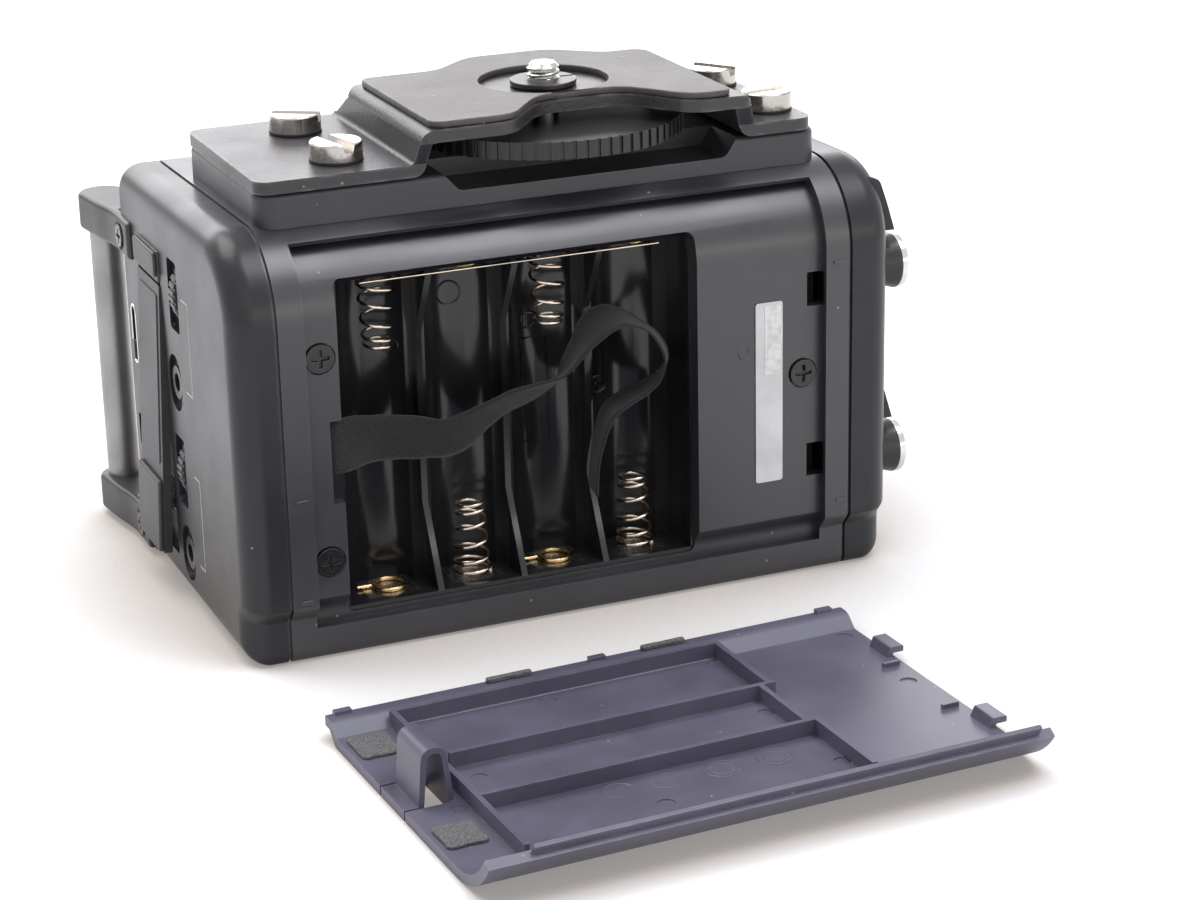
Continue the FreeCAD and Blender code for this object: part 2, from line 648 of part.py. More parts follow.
# Bent plate with the raised platform for the camera
WING_TOP = BLOCK_TOP + PLATE_THICKNESS
UNDER = PLATFORM_TOP - PLATE_THICKNESS
bend = [(WING_LEFT, BLOCK_TOP), (PLATFORM_LEFT + 2.2, BLOCK_TOP), (PLATFORM_LEFT + 2.4, UNDER),
        (PLATFORM_RIGHT - 2.4, UNDER), (PLATFORM_RIGHT + LEG_SPREAD - 1.9, BLOCK_TOP),
        (WING_RIGHT, BLOCK_TOP), (WING_RIGHT, WING_TOP), (PLATFORM_RIGHT + LEG_SPREAD, WING_TOP),
        (PLATFORM_RIGHT, PLATFORM_TOP), (PLATFORM_LEFT, PLATFORM_TOP), (PLATFORM_LEFT - 0.2, WING_TOP),
        (WING_LEFT, WING_TOP)]
bend_rounds = [0, 2.6, 0.8, 0.8, 2.6, 0, 0, 1.0, 2.6, 2.6, 1.0, 0]
bent = slab(bend, bend_rounds, "y", PLATFORM_REAR - 5, NECK_FRONT + 5)


def platform_outline(left, right, margin, low, high):
    # Two lobes joined by a neck that is pushed forward between them.
    rear = PLATFORM_REAR + margin
    rear_right = PLATFORM_REAR_RIGHT + margin
    front = PLATFORM_FRONT - margin
    neck_rear = NECK_REAR + margin
    neck_front = NECK_FRONT - margin
    near = NECK_HALF
    far = NECK_HALF + NECK_RUN
    points = [(left, rear), (NECK_X - far, rear), (NECK_X - near, neck_rear), (NECK_X + near, neck_rear),
              (NECK_X + far, rear_right), (right, rear_right), (right, front), (NECK_X + far, front),
              (NECK_X + near, neck_front), (NECK_X - near, neck_front), (NECK_X - far, front), (left, front)]
    radii = [2.6, 7.0, 8.0, 8.0, 7.0, 2.6, 3.4, 7.0, 8.0, 8.0, 7.0, 2.6]
    return slab(points, radii, "z", low, high)


wings = plate(WING_LEFT, WING_RIGHT, WING_REAR, WING_FRONT, 3.0, "z", BLOCK_TOP - 1, WING_TOP + 0.6)
leg_line = [(WING_REAR, WING_TOP), (WING_FRONT, WING_TOP), (PLATFORM_FRONT, UNDER),
            (PLATFORM_REAR + 0.8, UNDER)]
legs = slab(leg_line, 0, "x", PLATFORM_LEFT - 1, PLATFORM_RIGHT + LEG_SPREAD)
raised = platform_outline(PLATFORM_LEFT - 1, PLATFORM_RIGHT + 1, 0, UNDER - 0.1, PLATFORM_TOP + 1)
bent = bent.common(fused([wings, legs, raised]))
bent = bent.cut(rod(CAMERA_SHANK_RADIUS + SHAFT_CLEARANCE, (CAMERA_X, CAMERA_Y, 90), Z, 10))
for x, y in coin_places:
    bent = bent.cut(rod(COIN_SHANK + 0.1, (x, y, 80), Z, 20))
export(bent, "mount_plate")

pad = platform_outline(PLATFORM_LEFT + PAD_LEFT_MARGIN, PLATFORM_RIGHT - PAD_RIGHT_MARGIN, PAD_MARGIN,
                       PLATFORM_TOP, PLATFORM_TOP + PAD_THICKNESS)
pad = pad.cut(rod(PAD_HOLE_RADIUS, (CAMERA_X, CAMERA_Y, PLATFORM_TOP - 1), Z, 5))
export(pad, "platform_pad")

# Thumbwheel, camera screw and the disc that retains it
hub_base = BLOCK_TOP + RUN_GAP
wheel = fused([rod(THUMB_RADIUS, (CAMERA_X, CAMERA_Y, THUMB_BASE), Z, THUMB_HEIGHT),
               rod(7.0, (CAMERA_X, CAMERA_Y, hub_base), Z, THUMB_BASE - hub_base + 0.1)])
notches = []
for k in range(THUMB_NOTCHES):
    notch = box(THUMB_RADIUS - 0.5, THUMB_RADIUS + 1, -0.4, 0.4,
                THUMB_BASE - 1, THUMB_BASE + THUMB_HEIGHT + 1)
    notch.rotate(V(0, 0, 0), Z, 360.0 / THUMB_NOTCHES * k)
    notch.translate(V(CAMERA_X, CAMERA_Y, 0))
    notches.append(notch)
wheel = wheel.cut(Part.makeCompound(notches))
wheel = wheel.cut(rod(CAMERA_SHANK_RADIUS, (CAMERA_X, CAMERA_Y, 80), Z, 20))
export(wheel, "thumbwheel")
disc_base = PLATFORM_TOP + RUN_GAP
thread_base = disc_base + DISC_THICKNESS + 0.2
shank = rod(CAMERA_SHANK_RADIUS, (CAMERA_X, CAMERA_Y, hub_base), Z, thread_base - hub_base)
thread = rod(CAMERA_SCREW_RADIUS, (CAMERA_X, CAMERA_Y, thread_base), Z, CAMERA_SCREW_TOP - 0.8 - thread_base)
tip = Part.makeCone(CAMERA_SCREW_RADIUS, CAMERA_SCREW_RADIUS - 0.8, 0.8,
                    V(CAMERA_X, CAMERA_Y, CAMERA_SCREW_TOP - 0.8), Z)
export(fused([shank, thread, tip]), "camera_screw")
disc = rod(DISC_RADIUS, (CAMERA_X, CAMERA_Y, disc_base), Z, DISC_THICKNESS)
disc = disc.cut(rod(CAMERA_SHANK_RADIUS, (CAMERA_X, CAMERA_Y, disc_base - 1), Z, 5))
disc = disc.cut(box(CAMERA_X + 2, CAMERA_X + 8, CAMERA_Y - 0.4, CAMERA_Y + 0.4,
                    disc_base - 1, disc_base + 3))
export(disc, "retaining_disc")

# Slotted coin screws and their washers
coins = []
washers = []
for k, (x, y) in enumerate(coin_places):
    seat = WING_TOP + COIN_WASHER
    head = rod(COIN_HEAD_RADIUS, (x, y, seat), Z, COIN_HEAD_HEIGHT)
    rim = [e for e in head.Edges if abs(e.BoundBox.ZMin - seat - COIN_HEAD_HEIGHT) < 0.01]
    head = head.makeFillet(0.4, rim)
    coin = fused([head, rod(COIN_SHANK, (x, y, 74.5), Z, seat - 74.0)])
    slot = slab([(-0.9, seat + 1.6), (0.9, seat + 1.6), (1.5, seat + 4), (-1.5, seat + 4)], 0, "y", -6, 6)
    slot.rotate(V(0, 0, 0), Z, (12, 58, 96, 35)[k])
    slot.translate(V(x, y, 0))
    coins.append(coin.cut(slot))
    washer = rod(COIN_HEAD_RADIUS + 0.1, (x, y, WING_TOP), Z, COIN_WASHER)
    washers.append(washer.cut(rod(COIN_SHANK, (x, y, WING_TOP - 1), Z, 3)))
export(Part.makeCompound(coins), "coin_screws")
export(Part.makeCompound(washers), "coin_screw_washers")


def bracket(side, low):
    # A handle bracket: a foot let into the cap's side and an arm round the bar.
    h = LEFT_END if side < 0 else RIGHT_END
    bar_x = h - BAR_INSET
    points = [(h + 1.0, FOOT_REAR), (h + 1.0, FRONT), (h + 2.4, FRONT + 7.0), (h + 3.6, BAR_Y),
              (h + 3.6, BAR_Y + BRACKET_ROUND), (bar_x - BRACKET_ROUND, BAR_Y + BRACKET_ROUND),
              (bar_x - BRACKET_ROUND, BAR_Y - 6.0), (h - 6.0, FRONT), (h - BRACKET_SEAT, FRONT),
              (h - BRACKET_SEAT, FOOT_REAR)]
    radii = [0.8, 3.0, 6.0, 0, 4.8, 4.8, 4.0, 0, 0, 0]
    if side < 0:
        points = [(-x, y) for x, y in reversed(points)]
        radii = list(reversed(radii))
    piece = slab(points, radii, "z", low, low + BRACKET_HEIGHT)
    piece = piece.cut(rod(BAR_RADIUS, (side * bar_x, BAR_Y, BAR_LOW), Z, BAR_HIGH - BAR_LOW))
    middle = low + BRACKET_HEIGHT / 2
    start = side * (h + 0.2)
    piece = piece.cut(rod(2.5, (start, HANDLE_SCREW_Y, middle), X * side, 3))
    return piece.cut(rod(1.3, (side * (h - 8), HANDLE_SCREW_Y, middle), X * side, 12))


bracket_heights = (BRACKET_BASE_Z, BRACKET_TOP_Z)
for side, side_name in ((-1, "left"), (1, "right")):
    export(bracket(side, BRACKET_TOP_Z), side_name + "_top_bracket")
    export(bracket(side, BRACKET_BASE_Z), side_name + "_bottom_bracket")
    end = LEFT_END if side < 0 else RIGHT_END
    bar = rod(BAR_RADIUS, (side * (end - BAR_INSET), BAR_Y, BAR_LOW), Z, BAR_HIGH - BAR_LOW)
    export(bar, side_name + "_handle_bar")
fixings = []
for side in (-1, 1):
    for low in bracket_heights:
        z = low + BRACKET_HEIGHT / 2
        face = side * ((LEFT_END if side < 0 else RIGHT_END) + 0.2)
        piece = fused([rod(2.3, (face, HANDLE_SCREW_Y, z), X * side, 1.1),
                       rod(1.3, (face, HANDLE_SCREW_Y, z), X * -side, 7.0)])
        reach = face + side * 0.5 if side > 0 else face - 1.2
        piece = piece.cut(cross_slot((reach, HANDLE_SCREW_Y, z), "x", 2.2, 0.7))
        fixings.append(piece)
export(Part.makeCompound(fixings), "handle_screws")


def end_cap(side):
    # A closed end of the body: rounded outside, hollow inside, with seats for the handle brackets.
    inner = side * LIP_END
    reach = LEFT_END if side < 0 else RIGHT_END
    outer = side * reach
    low = min(inner, outer)
    high = max(inner, outer)
    cap = banded(0, low, high)
    rim = []
    for edge in cap.Edges:
        if abs(edge.BoundBox.XMin - outer) < 1e-6 and abs(edge.BoundBox.XMax - outer) < 1e-6:
            rim.append(edge)
    cap = cap.makeFillet(CAP_ROUND, rim)
    wall = outer - side * CAP_OUTER_WALL
    room = plain(SHELL_WALL, min(wall, inner - side), max(wall, inner - side), CAP_WALL, CAP_WALL)
    cap = cap.cut(room)
    posts = []
    for low in bracket_heights:
        z = low + BRACKET_HEIGHT / 2
        x0, x1 = sorted((wall + side * 1.5, side * 59.0))
        posts.append(box(x0, x1, HANDLE_SCREW_Y - 4.5, FRONT - 2.8, z - 4.5, z + 4.5))
    cap = fused([cap] + posts)
    cap = cap.common(banded(0, -70, 70))
    for low in bracket_heights:
        z = low + BRACKET_HEIGHT / 2
        x0, x1 = sorted((side * (reach - BRACKET_SEAT), side * 70))
        cap = cap.cut(box(x0, x1, FOOT_REAR, FRONT + 1, low, low + BRACKET_HEIGHT))
        cap = cap.cut(rod(1.3, (side * 58, HANDLE_SCREW_Y, z), X * side, 12))
    return cap


# Left end cap with its controls and sockets
left_cap = end_cap(-1)
inside = SIDE_X + CAP_OUTER_WALL
pads = [box(inside - 0.4, inside + 1.8, LINE_WHEEL_Y + 4.6, FLAP_FRONT + 2.0, 4.0, 72.0)]
board_posts = [(-14.0, 12.0), (-14.0, 66.0), (22.0, 71.0), (FRONT - 12.5, 18.0)]
for y, z in board_posts:
    pads.append(rod(2.4, (inside - 0.4, y, z), X, -SIDE_BOARD_X - 1.6 - inside + 0.4))
left_cap = fused([left_cap] + pads)
for y, z in wheel_places:
    half = WHEEL_SLOT_WIDTH / 2
    tall = WHEEL_SLOT_HEIGHT / 2
    slot = plate(y - half, y + half, z - tall, z + tall, 0.8, "x", SIDE_X - 1, SIDE_X + 1.2)
    left_cap = left_cap.cut(slot)
    left_cap = left_cap.cut(box(SIDE_X - 1, inside + 4, y - 2.0, y + 2.0, z - 6.4, z + 6.4))
for y, z in jack_places:
    left_cap = left_cap.cut(plate(y - 4.3, y + 4.3, z - 5.6, z + 5.6, 4.25, "x", SIDE_X - 1, SIDE_X + 1.0))
    left_cap = left_cap.cut(rod(JACK_COLLAR, (SIDE_X - 1, y, z), X, 6))
hold_low = HOLD_Z - HOLD_SLOT / 2
hold_slot = plate(HOLD_Y - 1.1, HOLD_Y + 1.1, hold_low, hold_low + HOLD_SLOT, 0.9,
                  "x", SIDE_X - 1, inside + 1)
left_cap = left_cap.cut(hold_slot)
left_cap = left_cap.cut(plate(HOLD_Y - 0.2, HOLD_Y + 1.8, 22.5, 29.5, 0.8, "x", SIDE_X - 1, SIDE_X + 1.2))
flap_room = plate(FLAP_REAR - 0.3, FLAP_FRONT + 0.3, FLAP_BASE - 0.4, ANCHOR_TOP, 0.8,
                  "x", SIDE_X - 1, SIDE_X + 2.0)
left_cap = left_cap.cut(flap_room)
CARD = (FLAP_REAR + 5.6, FLAP_REAR + 9.0, 34.0, 59.0)
USB = (FLAP_REAR + 4.4, FLAP_REAR + 11.6, 13.0, 21.0)
for y0, y1, z0, z1 in (CARD, USB):
    left_cap = left_cap.cut(box(SIDE_X - 1, -60, y0, y1, z0, z1))
export(left_cap, "left_end_cap")

# The rubber door over the card slot and the data socket, hinged along its top edge
FLAP_FLOOR = SIDE_X + 2.0
anchor = plate(FLAP_REAR, FLAP_FRONT, FLAP_TOP + 0.4, ANCHOR_TOP, 0.6, "x", SIDE_X - 0.4, FLAP_FLOOR)
export(anchor, "flap_anchor")
door = plate(FLAP_REAR, FLAP_FRONT, FLAP_BASE, FLAP_TOP, 0.6,
             "x", SIDE_X - 0.3, SIDE_X - 0.3 + FLAP_THICKNESS)
stud = plate(FLAP_REAR + 2.0, FLAP_FRONT - 2.0, FLAP_BASE + 5.0, FLAP_TOP - 8.0, 1.5, "x",
             SIDE_X + 1.3, SIDE_X + 1.5)
door = fused([door, stud])
hinge_point = V(SIDE_X - 0.3, 0, FLAP_TOP)
door.rotate(hinge_point, Y, FLAP_OPEN)
export(door, "side_flap")

y0, y1, z0, z1 = CARD
card = box(FLAP_FLOOR + 0.2, -SIDE_BOARD_X - 1.6, y0, y1, z0, z1)
card = card.cut(box(FLAP_FLOOR - 1, -60.5, y0 + 0.5, y1 - 0.5, z0 + 0.5, z1 - 0.5))
export(card, "card_slot")
y0, y1, z0, z1 = USB
usb = box(FLAP_FLOOR + 0.2, -SIDE_BOARD_X - 1.6, y0, y1, z0, z1)
usb = usb.cut(box(FLAP_FLOOR - 1, -59.0, y0 + 0.5, y1 - 0.5, z0 + 0.5, z1 - 0.5))
tongue_y = (y0 + y1) / 2
usb = usb.fuse(box(-62.5, -58.5, tongue_y - 0.6, tongue_y + 0.6, z0 + 1.6, z1 - 1.6))
export(usb.removeSplitter(), "usb_port")

board_inner = -SIDE_BOARD_X
ports = box(board_inner - 1.6, board_inner, -17.0, FRONT - 6.0, 7.0, 74.0)
for y, z in board_posts:
    ports = ports.cut(rod(1.0, (board_inner - 3, y, z), X, 5))
for y, z in wheel_places:
    ports = ports.cut(box(board_inner - 3, board_inner + 1, y - 2.0, y + 2.0, z - 8.8, z + 8.8))
export(ports, "port_board")

jacks = []
for y, z in jack_places:
    shell_piece = fused([rod(JACK_COLLAR, (SIDE_X + 0.3, y, z), X, 3.0),
                         box(inside + 0.02, board_inner - 1.6, y - 3.6, y + 3.6, z - 3.8, z + 3.8)])
    jacks.append(shell_piece.cut(rod(JACK_BORE, (SIDE_X - 1, y, z), X, JACK_LENGTH)))
export(Part.makeCompound(jacks), "stereo_jacks")

AXLE_X = SIDE_X + WHEEL_RADIUS - 0.5
for name, (y, z) in zip(("phones_wheel", "line_out_wheel"), wheel_places):
    rim = rod(WHEEL_RADIUS, (AXLE_X, y - WHEEL_WIDTH / 2, z), Y, WHEEL_WIDTH)
    cuts = []
    for k in range(36):
        cut = box(WHEEL_RADIUS - 0.35, WHEEL_RADIUS + 1, -2.5, 2.5, -0.25, 0.25)
        cut.rotate(V(0, 0, 0), Y, 10.0 * k)
        cut.translate(V(AXLE_X, y, z))
        cuts.append(cut)
    rim = rim.cut(Part.makeCompound(cuts))
    export(rim.cut(rod(1.5 + SHAFT_CLEARANCE, (AXLE_X, y - 5, z), Y, 10)), name)

hold = fused([plate(HOLD_Y - 0.8, HOLD_Y + 0.8, HOLD_Z - 5.2, HOLD_Z - 5.2 + HOLD_KNOB, 0.5, "x",
                    SIDE_X - 0.5, inside + 0.35),
              box(inside + 0.3, inside + 1.5, HOLD_Y - 2.4, HOLD_Y + 2.4, HOLD_Z - 8.0, HOLD_Z + 1.6)])
export(hold, "hold_switch")
hold_body = box(inside + 1.8, board_inner - 1.6, HOLD_Y - 3.0, HOLD_Y + 2.5, HOLD_Z - 9.0, HOLD_Z + 9.0)
export(hold_body, "hold_switch_base")

# Right end cap with two gain dials under hoods and two input sockets
right_cap = end_cap(1)
wall = RIGHT_END - CAP_OUTER_WALL
hoods = []
for z in dial_heights:
    top_line = [(wall - 0.5, z + 19.0), (RIGHT_END, z + 18.0), (RIGHT_END + 1.7, z + 13.2),
                (RIGHT_END + 3.4, z + 7.6), (wall - 0.5, z + 7.6)]
    hood = slab(top_line, [0, 2.0, 5.0, 0, 0], "y", DIAL_Y - 4.8, DIAL_Y + 6.0)
    hoods.append(hood)
right_posts = [(REAR + 23.0, 14.0), (-8.5, 41.0), (20.0, 73.0)]
posts = []
for y, z in right_posts:
    posts.append(rod(2.4, (SIDE_BOARD_X + 1.6, y, z), X, wall + 0.4 - SIDE_BOARD_X - 1.6))
hood_limit = plate(REAR + 1.5, FRONT - 5.0, 4, 79.0, 10, "x", RIGHT_END - 7, RIGHT_END + 8)
right_cap = fused([right_cap, Part.makeCompound(hoods).common(hood_limit)] + posts)
for z in dial_heights:
    right_cap = right_cap.cut(rod(3.0, (55, DIAL_Y, z), X, 15))
for z in socket_heights:
    right_cap = right_cap.cut(rod(SOCKET_RADIUS, (60, SOCKET_Y, z), X, 10))
export(right_cap, "right_end_cap")

for name, z in zip(("upper", "lower"), dial_heights):
    neck = RIGHT_END + 0.5
    profile = [V(neck, 0, 0), V(neck, DIAL_NECK_RADIUS, 0), V(neck + 1.6, DIAL_NECK_RADIUS + 0.3, 0),
               V(DIAL_BODY_END, DIAL_RIM_RADIUS, 0), V(DIAL_BODY_END, 0, 0), V(neck, 0, 0)]
    flare = Part.Face(Part.makePolygon(profile)).revolve(V(0, 0, 0), X, 360)
    flare.translate(V(0, DIAL_Y, z))
    shaft = rod(DIAL_SHAFT_RADIUS, (59.0, DIAL_Y, z), X, neck - 58.9)
    boss = rod(3.6, (DIAL_BODY_END - 0.1, DIAL_Y, z), X, 1.1)
    export(fused([flare, shaft, boss]), name + "_gain_dial")
    rim = rod(DIAL_RIM_RADIUS, (DIAL_BODY_END, DIAL_Y, z), X, DIAL_RIM_END - DIAL_BODY_END)
    rim = rim.cut(rod(3.6, (DIAL_BODY_END - 1, DIAL_Y, z), X, 5))
    export(rim, name + "_dial_rim")

inputs = box(SIDE_BOARD_X, SIDE_BOARD_X + 1.6, REAR + 6.0, FRONT - 16.0, 8.0, 72.6)
inputs = inputs.common(plain(SHELL_WALL + 0.3, -60, 60, SHELL_FRONT_WALL, SHELL_FRONT_WALL))
for z in socket_heights:
    inputs = inputs.cut(rod(10.2, (50, SOCKET_Y, z), X, 10))
export(inputs, "input_board")
sockets = []
for z in socket_heights:
    socket = fused([rod(SOCKET_RADIUS, (57.0, SOCKET_Y, z), X, RIGHT_END + 0.4 - 57.0),
                    rod(10.0, (44.0, SOCKET_Y, z), X, 13.2)])
    socket = socket.cut(rod(SOCKET_BORE, (49.0, SOCKET_Y, z), X, 20))
    for angle in (30, 150, 270):
        a = math.radians(angle)
        socket = socket.cut(rod(1.3, (55.0, SOCKET_Y + 7 * math.cos(a), z + 7 * math.sin(a)), X, 15))
    sockets.append(socket)
export(Part.makeCompound(sockets), "input_sockets")

# Control panel on the front
BACK = FRONT - 10
AHEAD = FRONT + 2
panel = plate(-PANEL_HALF_WIDTH, PANEL_HALF_WIDTH, PANEL_BASE, PANEL_TOP, 1.4, "y", FRONT - 4.0, PANEL_FACE)
rim_half = PANEL_HALF_WIDTH + 2.7
rim_plate = box(-rim_half, rim_half, FRONT - 5.0, FRONT - SHELL_FRONT_WALL,
                PANEL_BASE - 2.6, PANEL_TOP + 1.6)
panel = fused([panel, rim_plate])
window = (WINDOW_X, WINDOW_X + WINDOW_WIDTH, WINDOW_Z, WINDOW_Z + WINDOW_HEIGHT)
panel = panel.cut(plate(*window, 1.5, "y", PANEL_FACE - 1.2, PANEL_FACE + 1))
panel = panel.cut(box(window[0] + 2, window[1] - 2, BACK, AHEAD, window[2] + 2, window[3] - 2))
knob_places = [(KNOB_LEFT_X, KNOB_Z), (KNOB_RIGHT_X, KNOB_Z)]
post_left = 4.8 - PANEL_HALF_WIDTH
post_right = PANEL_HALF_WIDTH - 2.8
panel_posts = [(x, z) for x in (post_left, post_right) for z in (70.0, 11.0)]
back = []
for x, z in panel_posts:
    back.append(rod(2.6, (x, BOARD_Y + BOARD_THICKNESS, z), Y, FRONT - 4.9 - BOARD_Y - BOARD_THICKNESS))
panel = fused([panel] + back)
for x, z in panel_posts:
    panel = panel.cut(rod(1.1, (x, BOARD_Y, z), Y, 9))
for x, z in knob_places:
    panel = panel.cut(rod(3.2, (x, BACK, z), Y, 12))
panel = panel.cut(rod(3.2, (MENU_X, BACK, MENU_Z), Y, 12))
key_names = ["stop_key", "play_key", "record_key"]
key_places = [(KEY_FIRST_X + KEY_PITCH * k, KEY_Z) for k in range(len(key_names))]
for x, z in key_places:
    gap = RUN_GAP
    panel = panel.cut(plate(x - KEY_WIDTH / 2 - gap, x + KEY_WIDTH / 2 + gap, z - KEY_HEIGHT / 2 - gap,
                            z + KEY_HEIGHT / 2 + gap, 1.2, "y", BACK, AHEAD))
    panel = panel.cut(box(x - 7.2, x + 7.2, BACK, FRONT - SHELL_FRONT_WALL, z - 5.2, z + 5.2))
POWER_SLOT = (POWER_X - 2.0, POWER_X + 2.0, 20.0, 32.0)
panel = panel.cut(plate(*POWER_SLOT, 1.0, "y", BACK, AHEAD))
export(panel, "control_panel")

pane = plate(window[0], window[1], window[2], window[3], 1.5, "y", PANEL_FACE - 1.2, PANEL_FACE)
export(pane, "display_window")
board_top = BOARD_Y + BOARD_THICKNESS
screen = box(window[0] + 2.4, window[1] - 2.4, board_top, FRONT - 4.0, window[2] + 2.4, window[3] - 2.4)
export(screen, "display_panel")

main = box(1.8 - PANEL_HALF_WIDTH, PANEL_HALF_WIDTH + 0.2, BOARD_Y, board_top, 8.6, 72.6)
for x, z in panel_posts:
    main = main.cut(rod(1.15, (x, BOARD_Y - 1, z), Y, 5))
export(main, "main_board")

for name, (x, z) in zip(("left_level_knob", "right_level_knob"), knob_places):
    knob = rod(KNOB_RADIUS, (x, PANEL_FACE + RUN_GAP, z), Y, KNOB_HEIGHT)
    rim = [e for e in knob.Edges if e.BoundBox.YMin > PANEL_FACE + KNOB_HEIGHT]
    knob = knob.makeFillet(0.8, rim)
    cuts = []
    for k in range(30):
        cut = box(KNOB_RADIUS - 0.4, KNOB_RADIUS + 1, 0, KNOB_HEIGHT - 2, -0.3, 0.3)
        cut.rotate(V(0, 0, 0), Y, 12.0 * k)
        cut.translate(V(x, PANEL_FACE + RUN_GAP - 0.5, z))
        cuts.append(cut)
    knob_top = PANEL_FACE + KNOB_HEIGHT
    mark = box(x - 0.4, x + 0.4, knob_top - 0.3, knob_top + 1, z + 1.5, z + 9)
    knob = knob.cut(Part.makeCompound(cuts)).cut(mark)
    export(fused([knob, rod(DIAL_SHAFT_RADIUS, (x, FRONT - 9.5, z), Y, 10.5)]), name)

menu = rod(MENU_RADIUS, (MENU_X, PANEL_FACE + RUN_GAP, MENU_Z), Y, 3.6)
ring_cut = Part.makeTorus(6.4, 1.6, V(MENU_X, PANEL_FACE + RUN_GAP + 4.4, MENU_Z), Y)
menu = menu.cut(ring_cut)
export(fused([menu, rod(DIAL_SHAFT_RADIUS, (MENU_X, FRONT - 9.5, MENU_Z), Y, 10.5)]), "menu_wheel")

switches = []
for name, (x, z) in zip(key_names, key_places):
    key = plate(x - KEY_WIDTH / 2, x + KEY_WIDTH / 2, z - KEY_HEIGHT / 2, z + KEY_HEIGHT / 2, 1.0, "y",
                FRONT - 6.0, PANEL_FACE + KEY_PROUD)
    skirt = box(x - 6.6, x + 6.6, FRONT - 6.0, FRONT - 3.3, z - 4.6, z + 4.6)
    export(fused([key, skirt]), name)
    switch = fused([box(x - 3, x + 3, board_top, board_top + 2.6, z - 3, z + 3),
                    rod(1.6, (x, board_top + 2.5, z), Y, 0.9)])
    switches.append(switch)
export(Part.makeCompound(switches), "key_switches")

slider = fused([plate(POWER_X - 1.6, POWER_X + 1.6, 20.4, 26.0, 0.8, "y", FRONT - 5.4, PANEL_FACE + 1.4),
                box(POWER_X - 3.4, POWER_X + 3.4, FRONT - 6.8, FRONT - 5.3, 15.8, 29.6)])
export(slider, "power_switch")
export(box(POWER_X - 3.6, POWER_X + 3.6, board_top, FRONT - 7.1, 15.0, 36.0), "power_switch_base")

# Potentiometers: four with an upright shaft hole, two with a cross axle for the side wheels
pots = []
for z in dial_heights:
    body = box(SIDE_BOARD_X + 1.6, 64.0, DIAL_Y - 5.0, DIAL_Y + 5.0, z - 5.0, z + 5.0)
    body = body.common(plain(SHELL_WALL + 0.3, -WIDE, WIDE, SHELL_FRONT_WALL, SHELL_FRONT_WALL))
    pots.append(body.cut(rod(DIAL_SHAFT_RADIUS + SHAFT_CLEARANCE, (58.4, DIAL_Y, z), X, 6)))
for x, z in knob_places + [(MENU_X, MENU_Z)]:
    body = box(x - 5.5, x + 5.5, board_top, FRONT - 5.4, z - 5.5, z + 5.5)
    pots.append(body.cut(rod(DIAL_SHAFT_RADIUS + SHAFT_CLEARANCE, (x, BACK, z), Y, 6)))
for y, z in wheel_places:
    body = box(AXLE_X - 2.6, board_inner - 1.6, y + WHEEL_WIDTH / 2 + RUN_GAP, y + WHEEL_WIDTH / 2 + 4.3,
               z - 4.0, z + 4.0)
    axle = rod(1.5, (AXLE_X, y - WHEEL_WIDTH / 2, z), Y, WHEEL_WIDTH + 1.0)
    pots.append(fused([body, axle]))
export(Part.makeCompound(pots), "potentiometers")

# Small screws for the boards
small = []
for x, z in panel_posts:
    small.append(fused([rod(2.0, (x, BOARD_Y - 1.2, z), Y, 1.2), rod(1.1, (x, BOARD_Y - 0.5, z), Y, 7.0)]))
for y, z in board_posts:
    head = rod(1.8, (board_inner, y, z), X, 1.0)
    small.append(fused([head, rod(1.0, (board_inner + 0.5, y, z), X * -1, 2.1)]))
export(Part.makeCompound(small), "board_screws")
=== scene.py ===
import json
import math

import bpy
from mathutils import Matrix, Vector, noise


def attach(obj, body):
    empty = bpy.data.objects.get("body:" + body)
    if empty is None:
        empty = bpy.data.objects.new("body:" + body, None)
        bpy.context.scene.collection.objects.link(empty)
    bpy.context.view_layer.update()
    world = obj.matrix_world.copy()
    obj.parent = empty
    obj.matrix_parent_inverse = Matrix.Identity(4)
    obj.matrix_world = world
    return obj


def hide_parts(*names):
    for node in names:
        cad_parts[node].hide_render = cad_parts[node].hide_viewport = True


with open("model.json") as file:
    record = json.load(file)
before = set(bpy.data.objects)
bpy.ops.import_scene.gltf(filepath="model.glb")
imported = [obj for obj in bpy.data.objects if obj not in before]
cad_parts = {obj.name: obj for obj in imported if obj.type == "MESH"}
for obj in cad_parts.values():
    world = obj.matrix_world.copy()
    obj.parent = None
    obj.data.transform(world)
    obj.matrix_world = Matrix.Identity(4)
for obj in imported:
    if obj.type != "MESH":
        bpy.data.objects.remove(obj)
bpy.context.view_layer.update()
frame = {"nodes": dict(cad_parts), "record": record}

nodes = frame["nodes"]
mm = 0.001
scene = bpy.context.scene
scene.view_settings.view_transform = "Standard"
finishes = {}   # Blender material by the record's slot name
print("frame loaded")


# the camera stands where the photograph was taken from
cameraSetup = {"place": (-0.1992, -0.5275, 0.22205), "azimuth": -22.670, "elevation": 19.643,
               "roll": -1.2067, "lens": 88.96}


def addCamera(setup):
    a, e, r = (math.radians(setup[k]) for k in ("azimuth", "elevation", "roll"))
    forward = Vector((-math.sin(a) * math.cos(e), math.cos(a) * math.cos(e), -math.sin(e)))
    right = forward.cross(Vector((0, 0, 1))).normalized()
    down = forward.cross(right)
    tilted = right * math.cos(r) - down * math.sin(r)
    sunk = right * math.sin(r) + down * math.cos(r)
    view = Matrix((tilted, -sunk, -forward)).transposed().to_4x4()
    view.translation = Vector(setup["place"])
    data = bpy.data.cameras.new("photoCamera")
    data.lens = setup["lens"]
    data.sensor_width = 36
    data.sensor_fit = "HORIZONTAL"
    data.clip_start = 0.01
    camera = bpy.data.objects.new("photoCamera", data)
    scene.collection.objects.link(camera)
    camera.matrix_world = view
    scene.camera = camera


